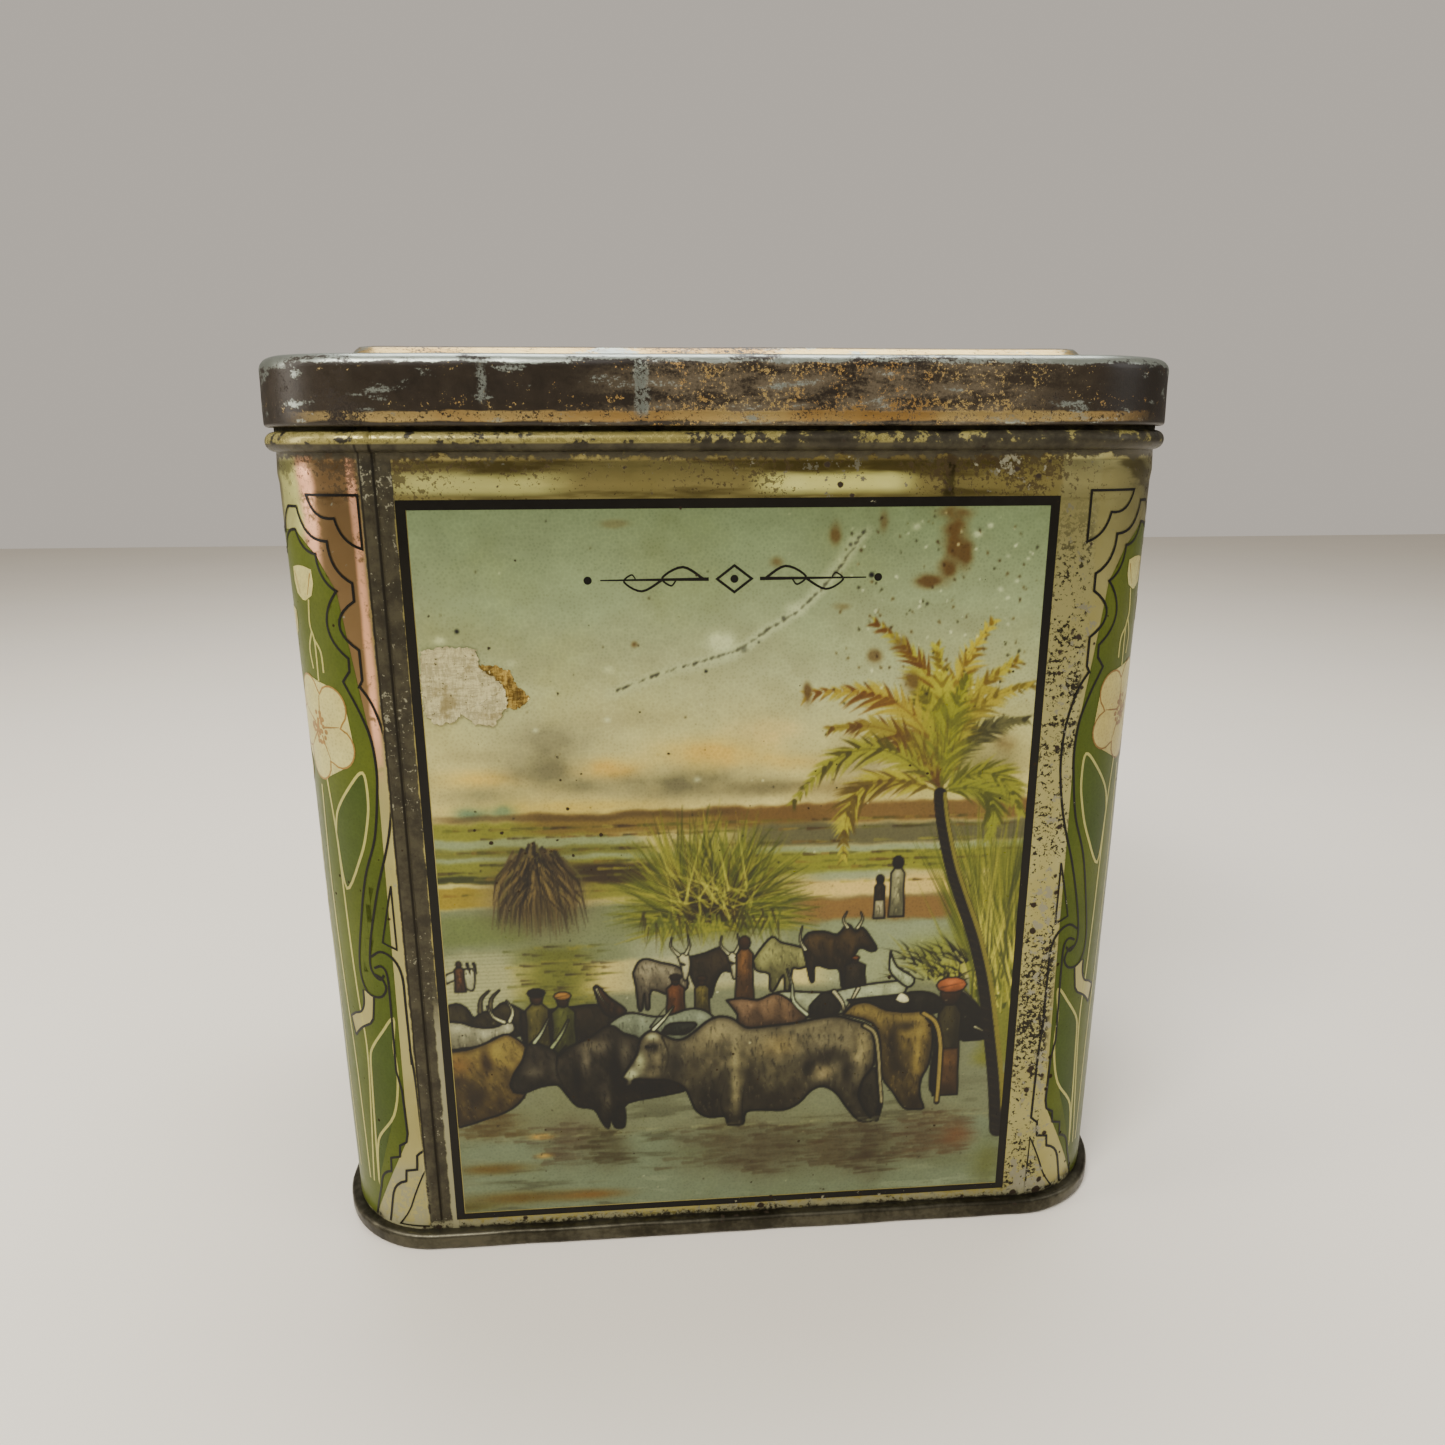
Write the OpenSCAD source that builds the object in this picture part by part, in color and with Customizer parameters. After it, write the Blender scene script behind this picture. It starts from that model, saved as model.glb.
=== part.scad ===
// Three-pound coffee tin: a soldered, lithographed body with a crimped bottom end and a lift-off slip lid.
// Millimetres, +Z up, front face towards -Y. The origin is the centre of the base on the surface it stands on.

/* [Body] */
// Width across the two end faces
body_w = 180; // [150:1:220]
// Depth from the front face to the back face
body_d = 113; // [90:1:140]
// Radius of the four upright corners, on the outside of the sheet
corner_r = 22; // [20:1:34]
// Height of the neck's top edge above the standing surface
neck_h = 192.3; // [140:0.1:240]
// Thickness of the tinplate
sheet = 0.4; // [0.3:0.05:0.45]
// Radius of the hem that is rolled inwards along the neck's top edge
neck_hem_r = 0.6; // [0.5:0.05:0.8]

/* [Stop bead] */
// Distance from the neck's top edge down to the middle of the bead
bead_drop = 14.8; // [14.5:0.1:20]
// Outside radius of the half-round bead
bead_r = 1.9; // [1.2:0.1:2]

/* [Bottom end] */
// How far the crimped rim stands proud of the body
rim_out = 2.3; // [2:0.1:3]
// Height of the crimped rim
rim_h = 4; // [3.6:0.1:5]
// Radius that rounds the rim's two outer corners
rim_round = 1; // [0.9:0.05:1]
// Height of the recessed bottom panel's underside above the standing surface
recess = 3; // [1:0.1:3.2]

/* [Lid] */
// How far the skirt stands proud of the body
skirt_out = 1.8; // [1.6:0.1:2]
// Height of the skirt, from its lower edge to the top of the lid's shoulder
skirt_h = 12.8; // [11:0.1:13]
// Radius of the shoulder between the skirt and the top
shoulder_r = 2.5; // [1.5:0.1:4]
// Radius of the hem that is rolled inwards along the skirt's lower edge
skirt_hem_r = 0.7; // [0.5:0.05:0.75]
// Gap between the neck's top edge and the underside of the closed lid
seat_gap = 0.3; // [0.1:0.05:0.5]
// Distance from the skirt's face to the foot of the raised platform
platform_inset = 16; // [12:0.5:18]
// Width of the platform's sloping side
slope_w = 3; // [2:0.5:4]
// Height of the platform above the rest of the lid
platform_rise = 2.8; // [1:0.1:4]

/* [Side seam] */
// Angle round the front left corner, from its front edge, at which the seam's fold line shows
seam_angle = 0.5; // [0:0.5:10]
// Width of the folded seam, as an angle round the corner
fold_angle = 16; // [8:0.5:20]
// Width of the solder beside the fold, as an angle round the corner
solder_angle = 3; // [1.5:0.5:4]
// Thickness of the solder
solder_t = 0.6; // [0.3:0.1:0.8]

/* [Paper label remnant] */
// Thickness of the torn paper
paper_t = 0.15; // [0.1:0.05:0.3]
// Thickness of the old glue
glue_t = 0.1; // [0.05:0.05:0.2]

/* [Hidden] */
$fn = 96;

fold_t = 2 * sheet;                       // two more layers of sheet inside the wall
corner_x = body_w / 2 - corner_r;         // the corners' centres, which every sweep turns about
corner_y = body_d / 2 - corner_r;
bead_z = neck_h - bead_drop;
hook_z = 2 * sheet;                       // height of the body's hook inside the rim
hook_out = rim_out - sheet;
skirt_x = corner_r + skirt_out;           // outside of the skirt, from a corner's centre
lid_z = neck_h + seat_gap + sheet;        // top of the lid round its edge
skirt_z = lid_z - skirt_h;                // lower edge of the skirt
foot_x = skirt_x - platform_inset;
crest_x = foot_x - slope_w;
seam_low = rim_h + 0.2;
seam_high = bead_z - bead_r - 1;

// The torn paper's outline on the front face, as [x, z] points
paper_outline = [[-61.5, 139], [-50, 139], [-49.5, 135], [-46.5, 132], [-45, 130.5], [-45, 127], [-48, 123],
    [-52, 123.5], [-54.5, 125.5], [-56, 124], [-60, 123.5], [-62, 126]];
// The glue that the paper left bare, which runs on under the paper's right edge
glue_outline = [[-50, 135], [-46.5, 135], [-44, 134], [-43, 131.5], [-41, 128.5], [-42.5, 127], [-46, 126]];

// Sweeps a profile round the tin. The profile's x is the distance out from a corner's centre, and its y is the height.
module around() {
    for (turn = [0, 1, 2, 3])
        translate([(turn == 0 || turn == 3 ? 1 : -1) * corner_x, (turn < 2 ? 1 : -1) * corner_y, 0])
            rotate([0, 0, 90 * turn])
                rotate_extrude(angle = 90) children();
    for (side = [0, 1], end = [0, 1])
        rotate([0, 0, 180 * side + 90 * end])
            translate([-(end == 0 ? corner_x : corner_y), end == 0 ? corner_y : corner_x, 0])
                rotate([90, 0, 90])
                    linear_extrude(2 * (end == 0 ? corner_x : corner_y)) children();
}

// Part of a turn round the front left corner, from the fold line towards the left end
module round_front_left(from_angle, angle) {
    translate([-corner_x, -corner_y, 0])
        rotate([0, 0, 270 - from_angle - angle])
            rotate_extrude(angle = angle) children();
}

// The flat middle of a pressing, between the four corners' centres
module middle_plate(z) {
    translate([-corner_x, -corner_y, z]) cube([2 * corner_x, 2 * corner_y, sheet]);
}

// Half of a round bead, standing out from the wall's face
module bead_profile() {
    translate([corner_r, bead_z]) intersection() {
        difference() {
            circle(r = bead_r);
            circle(r = bead_r - sheet);
        }
        translate([0, -bead_r]) square([bead_r, 2 * bead_r]);
    }
}

module wall_profile() {
    bead_inside = bead_r - sheet;
    translate([corner_r - sheet, hook_z]) square([sheet, bead_z - bead_inside - hook_z]);
    translate([corner_r - sheet, bead_z + bead_inside])
        square([sheet, neck_h - neck_hem_r - bead_z - bead_inside]);
}

module hook_profile() {
    translate([corner_r, hook_z]) square([hook_out, sheet]);
    translate([corner_r + hook_out - sheet, hook_z]) square([sheet, rim_h - sheet - hook_z]);
}

module neck_hem_profile() {
    translate([corner_r - neck_hem_r, neck_h - neck_hem_r]) circle(r = neck_hem_r);
}

module body_shell() {
    color("darkkhaki") union() {
        around() wall_profile();
        around() bead_profile();
        around() hook_profile();
        around() neck_hem_profile();
        round_front_left(seam_angle, fold_angle)
            translate([corner_r - sheet - fold_t, seam_low]) square([fold_t, seam_high - seam_low]);
    }
}

module side_seam_solder() {
    color("lightgray") round_front_left(seam_angle + fold_angle, solder_angle)
        translate([corner_r - sheet - solder_t, seam_low]) square([solder_t, seam_high - seam_low]);
}

// The rim's outside, square towards the tin and rounded outwards
module rim_outside_profile() {
    inner_x = corner_r - 2 * sheet;
    outer_x = corner_r + rim_out;
    translate([inner_x, 0]) square([outer_x - rim_round - inner_x, rim_h]);
    translate([inner_x, rim_round]) square([outer_x - inner_x, rim_h - 2 * rim_round]);
    for (z = [rim_round, rim_h - rim_round])
        translate([outer_x - rim_round, z]) circle(r = rim_round);
}

module rim_profile() {
    difference() {
        rim_outside_profile();
        translate([corner_r - sheet, sheet]) square([sheet + hook_out, rim_h - 2 * sheet]);
        translate([corner_r - 3 * sheet, rim_h - sheet]) square([3 * sheet, 2 * sheet]);
    }
}

module bottom_end() {
    color("dimgray") union() {
        around() rim_profile();
        around() translate([0, recess]) square([corner_r - 2 * sheet, sheet]);
        middle_plate(recess);
    }
}

// The quarter-round shoulder that joins the skirt to the top
module shoulder_profile() {
    translate([skirt_x - shoulder_r, lid_z - shoulder_r]) intersection() {
        difference() {
            circle(r = shoulder_r);
            circle(r = shoulder_r - sheet);
        }
        square(shoulder_r);
    }
}

module skirt_profile() {
    translate([skirt_x - sheet, skirt_z + skirt_hem_r]) square([sheet, skirt_h - skirt_hem_r - shoulder_r]);
    translate([skirt_x - skirt_hem_r, skirt_z + skirt_hem_r]) circle(r = skirt_hem_r);
}

// The flat band, the sloping side and the platform's top, from the shoulder in to the corners' centres
module top_profile() {
    crest_z = lid_z + platform_rise;
    polygon([[skirt_x - shoulder_r, lid_z], [foot_x, lid_z], [crest_x, crest_z], [0, crest_z],
        [0, crest_z - sheet], [crest_x, crest_z - sheet], [foot_x, lid_z - sheet],
        [skirt_x - shoulder_r, lid_z - sheet]]);
}

module lid() {
    color("saddlebrown") union() {
        around() shoulder_profile();
        around() skirt_profile();
        around() top_profile();
        middle_plate(lid_z + platform_rise - sheet);
    }
}

// Lays a flat piece of the given thickness on the front face
module on_front(thickness) {
    translate([0, -body_d / 2, 0]) rotate([90, 0, 0]) linear_extrude(thickness) children();
}

module label_remnant() {
    color("lightgray") on_front(paper_t) polygon(paper_outline);
}

module label_glue() {
    color("peru") on_front(glue_t) difference() {
        polygon(glue_outline);
        polygon(paper_outline);
    }
}

body_shell();
side_seam_solder();
bottom_end();
lid();
label_remnant();
label_glue();
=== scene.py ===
import bpy
import bmesh
import math
import random
import numpy as np
from mathutils import Matrix, Vector, noise


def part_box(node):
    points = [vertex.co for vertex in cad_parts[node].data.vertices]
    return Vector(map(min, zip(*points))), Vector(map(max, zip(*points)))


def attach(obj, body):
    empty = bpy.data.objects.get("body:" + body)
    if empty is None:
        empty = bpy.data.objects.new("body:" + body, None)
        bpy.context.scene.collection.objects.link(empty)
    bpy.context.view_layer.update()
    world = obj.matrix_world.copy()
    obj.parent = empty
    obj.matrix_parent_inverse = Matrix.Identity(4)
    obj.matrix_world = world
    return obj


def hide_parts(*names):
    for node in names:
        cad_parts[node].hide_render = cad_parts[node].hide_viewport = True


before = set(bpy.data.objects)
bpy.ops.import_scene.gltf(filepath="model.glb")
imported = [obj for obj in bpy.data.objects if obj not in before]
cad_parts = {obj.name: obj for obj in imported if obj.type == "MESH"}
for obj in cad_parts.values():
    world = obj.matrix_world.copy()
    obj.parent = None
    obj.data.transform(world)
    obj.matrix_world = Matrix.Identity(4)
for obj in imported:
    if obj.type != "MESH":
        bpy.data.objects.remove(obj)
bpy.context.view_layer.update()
mm = 0.001  # shapes are worked out in millimetres, and a mesh is scaled to metres when it is finished

# the tin's own measures: the boxes give the size, the dictionary the sheet metal's own radii

neckTop = (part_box("body_shell")[1] / mm).z
lidLow, lidHigh = [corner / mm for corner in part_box("lid")]
rimHeight = (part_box("bottom_end")[1] / mm).z

tin = {
    "cornerRadius": 22.0,
    "sheet": 0.4,
    "beadRadius": 1.9,
    "beadDrop": 14.8,     # from the neck's top edge to the middle of the bead
    "neckHem": 0.6,
    "seamAt": -66.8,      # the seam's fold line, along the wall from the middle of the front
    "cornerSteps": 30,
    "flatStep": 1.5,
    "artStep": 3.0,       # between the cuts of the printed artwork along the flat sides
    "skirtOut": 1.8,      # from the wall to the lid's skirt
}
cornerR = tin["cornerRadius"]
halfX = lidHigh.x - tin["skirtOut"] - cornerR   # to the corners' centres
halfY = lidHigh.y - tin["skirtOut"] - cornerR
beadZ = neckTop - tin["beadDrop"]
cornerArc = cornerR * math.pi / 2
endStart = halfX + cornerArc        # distances along the wall, from the middle of the front
endMiddle = endStart + halfY
endStop = endStart + 2 * halfY
backStart = endStop + cornerArc
halfRound = backStart + halfX


def smooth(value, low, high):
    t = min(max((value - low) / (high - low), 0.0), 1.0)
    return t * t * (3 - 2 * t)


# a place along the wall, as the point on the core that the corners turn about, and the way out from it
def wallWay(along):
    side = -1 if along < 0 else 1
    a = abs(along)
    if a <= halfX:
        return Vector((side * a, -halfY, 0)), Vector((0, -1, 0))
    if a < endStart:
        turn = (a - halfX) / cornerR
        return Vector((side * halfX, -halfY, 0)), Vector((side * math.sin(turn), -math.cos(turn), 0))
    if a <= endStop:
        return Vector((side * halfX, a - endMiddle, 0)), Vector((side, 0, 0))
    if a < backStart:
        turn = (a - endStop) / cornerR
        return Vector((side * halfX, halfY, 0)), Vector((side * math.cos(turn), math.sin(turn), 0))
    return Vector((side * (halfRound - a), halfY, 0)), Vector((0, 1, 0))


# the place along the wall that lies straight out from a point, and how far out from the core it is
def alongWall(point):
    core = Vector((min(max(point.x, -halfX), halfX), min(max(point.y, -halfY), halfY), 0))
    out = Vector((point.x, point.y, 0)) - core
    side = -1 if point.x < 0 else 1
    if out.length < 1e-6:
        return 0.0, 0.0
    if abs(point.x) <= halfX:
        a = abs(point.x) if point.y < 0 else halfRound - abs(point.x)
    elif abs(point.y) <= halfY:
        a = endMiddle + point.y
    elif point.y < 0:
        a = halfX + cornerR * math.atan2(abs(out.x), -out.y)
    else:
        a = endStop + cornerR * math.atan2(out.y, abs(out.x))
    return side * a, out.length


# dents in the wall: along, height, half width, half height, depth
wallDents = [(41, 178.5, 4.0, 2.6, 0.9), (44, 171.5, 2.2, 3.0, 0.25), (-30, 178, 26, 3.5, 0.4),
    (8, 95, 42, 48, 0.5), (150, 60, 14, 22, 0.5), (-120, 120, 20, 18, 0.4), (240, 110, 32, 40, 0.6),
    (-210, 40, 16, 12, 0.5),]


def dentAt(along, z):
    push = 0.14 * noise.noise(Vector((along * 0.035, z * 0.03, 4.2)))
    for middle, height, halfWide, halfHigh, depth in wallDents:
        away = ((along - middle) / halfWide) ** 2 + ((z - height) / halfHigh) ** 2
        if away < 9:
            push -= depth * math.exp(-away)
    push *= 1 - smooth(abs(along), halfRound - 25, halfRound)  # both ways round meet at the back
    push += 0.3 * math.exp(-((z - neckTop + 20) / 1.3) ** 2)  # a slight second ridge under the bead
    # the folded seam: raised on its left side, with a narrow valley at the fold line
    fold = along - tin["seamAt"]
    if -4 < fold < 4.5:
        push += 0.3 * smooth(fold, -3.4, -2.6) * (1 - smooth(fold, -0.4, -0.1))
        push -= 0.25 * math.exp(-((fold - 0.1) / 0.25) ** 2)
    return push * smooth(z, 4.0, 8.0) * (1 - smooth(z, neckTop - 12.5, neckTop - 10))


def onWall(along, z, lift):
    core, way = wallWay(along)
    point = core + way * (cornerR + lift + dentAt(along, z))
    point.z = z
    return point


# mesh helpers


# a chain of edges through points given as (out from the corners' centres, height), at the middle of the front
def addChain(mesh, profile, closed=False):
    verts = [mesh.verts.new((0, -halfY - out, z)) for out, z in profile]
    pairs = list(zip(verts, verts[1:]))
    if closed:
        pairs.append((verts[-1], verts[0]))
    edges = [mesh.edges.new(pair) for pair in pairs]
    return verts + edges


# carries a profile round the whole tin: along each flat side in steps, and round each corner
def sweepRound(mesh, chain, flatStep, cornerSteps):
    turns = [(1, -1, 1, 0, halfX), (1, 1, 0, 1, 2 * halfY), (-1, 1, -1, 0, 2 * halfX),
        (-1, -1, 0, -1, 2 * halfY)]
    ends = chain
    for side, depth, goX, goY, length in turns:
        count = round(length / flatStep)
        ends = bmesh.ops.spin(mesh, geom=ends, cent=(0, 0, 0), axis=(0, 0, 1), angle=0, steps=count,
            dvec=(goX * length / count, goY * length / count, 0))["geom_last"]
        ends = bmesh.ops.spin(mesh, geom=ends, cent=(side * halfX, depth * halfY, 0), axis=(0, 0, 1),
            angle=math.pi / 2, steps=cornerSteps)["geom_last"]
    count = round(halfX / flatStep)
    bmesh.ops.spin(mesh, geom=ends, cent=(0, 0, 0), axis=(0, 0, 1), angle=0, steps=count,
        dvec=(halfX / count, 0, 0))
    bmesh.ops.remove_doubles(mesh, verts=mesh.verts, dist=0.01)
    bmesh.ops.recalc_face_normals(mesh, faces=mesh.faces)


def arcPoints(out, z, radius, start, stop, count):
    angles = [math.radians(start + (stop - start) * i / count) for i in range(count + 1)]
    return [(out + radius * math.cos(a), z + radius * math.sin(a)) for a in angles]


def risePoints(out, low, high, step):
    count = max(1, round(abs(high - low) / step))
    return [(out, low + (high - low) * i / count) for i in range(count + 1)]


def pushDents(mesh):
    for vert in mesh.verts:
        along, out = alongWall(vert.co)
        if out > 1:
            core, way = wallWay(along)
            vert.co += way * dentAt(along, vert.co.z)


def finishPiece(name, mesh, body, materials, node=None):
    bmesh.ops.scale(mesh, vec=(mm, mm, mm), verts=mesh.verts)
    data = bpy.data.meshes.new(name)
    mesh.to_mesh(data)
    mesh.free()
    for material in materials:
        data.materials.append(material)
    data.polygons.foreach_set("use_smooth", [True] * len(data.polygons))
    piece = bpy.data.objects.new(name, data)
    bpy.context.scene.collection.objects.link(piece)
    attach(piece, body)
    if node:
        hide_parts(node)
    return piece

# node helpers


def newTree(name, gloss=0.5):
    material = bpy.data.materials.new(name)
    material.use_nodes = True
    tree = material.node_tree
    shader = tree.nodes["Principled BSDF"]
    shader.inputs["Specular IOR Level"].default_value = gloss
    return material, tree, shader


def put(tree, kind, **settings):
    node = tree.nodes.new(kind)
    for key, value in settings.items():
        setattr(node, key, value)
    return node


# gives a socket another socket to read, or a plain number or colour
def feed(tree, socket, value):
    if isinstance(value, bpy.types.NodeSocket):
        tree.links.new(value, socket)
    else:
        socket.default_value = value


# one sum on the values in turn; a sum that takes one value gets a zero beside it
def calc(tree, operation, *values):
    total = values[0]
    for value in values[1:] or (0.0,):
        node = put(tree, "ShaderNodeMath", operation=operation)
        feed(tree, node.inputs[0], total)
        feed(tree, node.inputs[1], value)
        total = node.outputs[0]
    return total


def times(tree, *values):
    return calc(tree, "MULTIPLY", *values)


def added(tree, *values):
    return calc(tree, "ADD", *values)


def less(tree, first, second):
    return calc(tree, "SUBTRACT", first, second)


def most(tree, *values):
    return calc(tree, "MAXIMUM", *values)


def mixColour(tree, share, first, second, blend="MIX"):
    node = put(tree, "ShaderNodeMix", data_type="RGBA", blend_type=blend, clamp_factor=True)
    feed(tree, node.inputs[0], share)
    feed(tree, node.inputs[6], first)
    feed(tree, node.inputs[7], second)
    return node.outputs[2]


def mixValue(tree, share, first, second):
    node = put(tree, "ShaderNodeMix", data_type="FLOAT", clamp_factor=True)
    feed(tree, node.inputs[0], share)
    feed(tree, node.inputs[2], first)
    feed(tree, node.inputs[3], second)
    return node.outputs[0]


# a smooth step from 0 to 1 as the value goes from start to stop, either way round
def step(tree, value, start, stop):
    node = put(tree, "ShaderNodeMapRange", interpolation_type="SMOOTHSTEP", clamp=True)
    feed(tree, node.inputs[0], value)
    rising = start <= stop
    limits = (start, stop, 0.0, 1.0) if rising else (stop, start, 1.0, 0.0)
    for socket, number in zip(node.inputs[1:5], limits):
        socket.default_value = number
    return node.outputs[0]


def window(tree, value, low, high, soft):
    return times(tree, step(tree, value, low - soft, low + soft), step(tree, value, high + soft,
        high - soft))


def grain(tree, vector, scale, detail, rough=0.55, stretch=None):
    if stretch:
        mapping = put(tree, "ShaderNodeMapping")
        feed(tree, mapping.inputs["Vector"], vector)
        mapping.inputs["Scale"].default_value = stretch
        vector = mapping.outputs[0]
    node = put(tree, "ShaderNodeTexNoise")
    feed(tree, node.inputs["Vector"], vector)
    node.inputs["Scale"].default_value = scale
    node.inputs["Detail"].default_value = detail
    node.inputs["Roughness"].default_value = rough
    return node.outputs[0]


def cells(tree, vector, scale, randomness=1.0):
    node = put(tree, "ShaderNodeTexVoronoi")
    feed(tree, node.inputs["Vector"], vector)
    node.inputs["Scale"].default_value = scale
    node.inputs["Randomness"].default_value = randomness
    return node


# a wandering threshold: the value moved up and down by a noise
def wander(tree, value, noiseValue, amount):
    return added(tree, value, times(tree, less(tree, noiseValue, 0.5), amount))


# object coordinates, as the vector and as its three parts in millimetres
def coordinates(tree):
    vector = put(tree, "ShaderNodeTexCoord").outputs["Object"]
    parts = put(tree, "ShaderNodeSeparateXYZ")
    tree.links.new(vector, parts.inputs[0])
    return vector, [times(tree, part, 1 / mm) for part in parts.outputs]


def newGroup(name, inputs, outputs):
    group = bpy.data.node_groups.new(name, "ShaderNodeTree")
    for label, kind, value in inputs:
        group.interface.new_socket(label, in_out="INPUT", socket_type=kind).default_value = value
    for label, kind in outputs:
        group.interface.new_socket(label, in_out="OUTPUT", socket_type=kind)
    return group, group.nodes.new("NodeGroupInput"), group.nodes.new("NodeGroupOutput")


def place(tree, group, **values):
    node = put(tree, "ShaderNodeGroup", node_tree=group)
    for label, value in values.items():
        feed(tree, node.inputs[label], value)
    return node


def bumped(tree, shader, height, distance, strength):
    node = put(tree, "ShaderNodeBump")
    node.inputs["Distance"].default_value = distance
    node.inputs["Strength"].default_value = strength
    feed(tree, node.inputs["Height"], height)
    tree.links.new(node.outputs[0], shader.inputs["Normal"])


# how deep the printed colours are laid down, so that they look right in the soft light
inkDepth = {"contrast": 2.0, "gain": 2.15, "colour": 1.15, "balance": (0.95, 0.98, 0.68)}


# colours as they are seen on screen, from 0 to 1, made linear and deepened
def deepened(seen):
    linear = np.clip(np.where(seen <= 0.04045, seen / 12.92, ((seen + 0.055) / 1.055) ** 2.4), 0.0005, 1)
    grey = (linear @ np.array([0.25, 0.65, 0.10]))[..., None]
    deep = inkDepth["gain"] * grey ** inkDepth["contrast"] * (linear / grey) ** inkDepth["colour"]
    return np.clip(deep * np.array(inkDepth["balance"]), 0.001, 0.9)


def tint(red, green, blue):
    return tuple(float(part) for part in deepened(np.array([red, green, blue]) / 255)) + (1.0,)


# materials of the metal parts

floatKind, colourKind = "NodeSocketFloat", "NodeSocketColor"


# age that every printed or lacquered surface shares, by place: chips, rust freckles, grime
def makeWearGroup():
    group, source, result = newGroup("tinWear", [("Amount", floatKind, 1.0)],
        [("Chips", floatKind), ("Rust", floatKind), ("Grime", floatKind), ("Fine", floatKind)],)
    vector, (x, y, z) = coordinates(group)
    coarse = grain(group, vector, 38, 4, 0.6)
    fine = grain(group, vector, 520, 4, 0.7)
    low = step(group, z, 11, 4.5)
    high = step(group, z, 164, 174)
    frontFace = step(group, y, -47, -55)
    rightStrip = times(group, window(group, x, 65.5, 74, 1.5), frontFace)
    rightStrip = times(group, rightStrip, step(group, z, 176, 140))
    sides = added(group, times(group, low, 0.15), times(group, high, 0.05))
    sides = added(group, sides, times(group, rightStrip, 0.13))
    patchy = times(group, less(group, coarse, 0.5), 0.5)
    level = added(group, added(group, fine, patchy), sides)
    level = times(group, level, source.outputs["Amount"])
    chips = step(group, level, 0.70, 0.73)
    spots = cells(group, vector, 260).outputs["Distance"]
    spots = less(group, added(group, spots, times(group, fine, 0.3)), sides)
    rust = step(group, less(group, spots, patchy), 0.22, 0.15)
    grime = step(group, added(group, coarse, times(group, sides, 0.8)), 0.42, 0.75)
    for label, value in (("Chips", chips), ("Rust", rust), ("Grime", grime), ("Fine", fine)):
        feed(group, result.inputs[label], value)
    return group


# the fine irregular dots of a lithographed tint
def makeStippleGroup():
    group, source, result = newGroup("lithoStipple", [("Colour", colourKind, (0.5, 0.5, 0.5, 1)),
        ("Strength", floatKind, 0.3)], [("Colour", colourKind)],)
    vector = coordinates(group)[0]
    dots = cells(group, vector, 1500, 0.85).outputs["Distance"]
    drift = grain(group, vector, 240, 3, 0.6)
    dark = times(group, step(group, dots, 0.5, 0.15), step(group, drift, 0.35, 0.6))
    light = times(group, step(group, dots, 0.4, 0.75), step(group, drift, 0.62, 0.4))
    strength = source.outputs["Strength"]
    shaded = mixColour(group, times(group, dark, strength), source.outputs["Colour"], tint(72, 66, 40))
    lighter = mixColour(group, 1.0, source.outputs["Colour"], (1.7, 1.7, 1.6, 1), "MULTIPLY")
    shaded = mixColour(group, times(group, light, strength), shaded, lighter)
    feed(group, result.inputs["Colour"], shaded)
    return group


wearGroup = makeWearGroup()
stippleGroup = makeStippleGroup()

metal = {"bare": tint(158, 153, 150), "silver": tint(172, 166, 140), "dark": tint(98, 90, 84),
    "darkWorn": tint(118, 110, 100), "darkSpeckAndShade": tint(84, 74, 60), "rust": tint(96, 74, 54),
    "freckle": tint(110, 88, 58), "grime": tint(206, 198, 176), "gold": tint(178, 168, 128),
    "oldGold": tint(168, 156, 112), "bandGold": tint(162, 150, 114), "highlightGold": tint(222, 212, 162),
    "roseTintAndReflection": tint(158, 122, 104), "paintedPink": tint(232, 176, 166), "cream": tint(162, 156, 140),}
lidTone = {"dark": tint(84, 70, 64), "brown": tint(98, 83, 75), "paintedSheen": tint(142, 127, 120),
    "copper": tint(190, 152, 108), "paleCopper": tint(198, 172, 134), "worn": tint(164, 168, 182),
    "rust": tint(88, 70, 56),}

# the place along the wall from the middle of the front, in millimetres, out to the two ends
def makePlaceGroup():
    group, source, result = newGroup("placeOnWall", [], [("Along", floatKind), ("Front", floatKind)])
    vector, (x, y, z) = coordinates(group)
    outX = calc(group, "ABSOLUTE", x)
    aside = most(group, less(group, outX, halfX), 0.0)
    forward = less(group, times(group, y, -1.0), halfY)
    turn = calc(group, "ARCTAN2", aside, most(group, forward, 0.001))
    along = added(group, calc(group, "MINIMUM", outX, halfX), times(group, turn, cornerR))
    along = added(group, along, most(group, times(group, forward, -1.0), 0.0))
    feed(group, result.inputs["Along"], times(group, along, calc(group, "SIGN", x)))
    feed(group, result.inputs["Front"], step(group, y, 0.0, -20.0))
    return group


placeGroup = makePlaceGroup()


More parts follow.
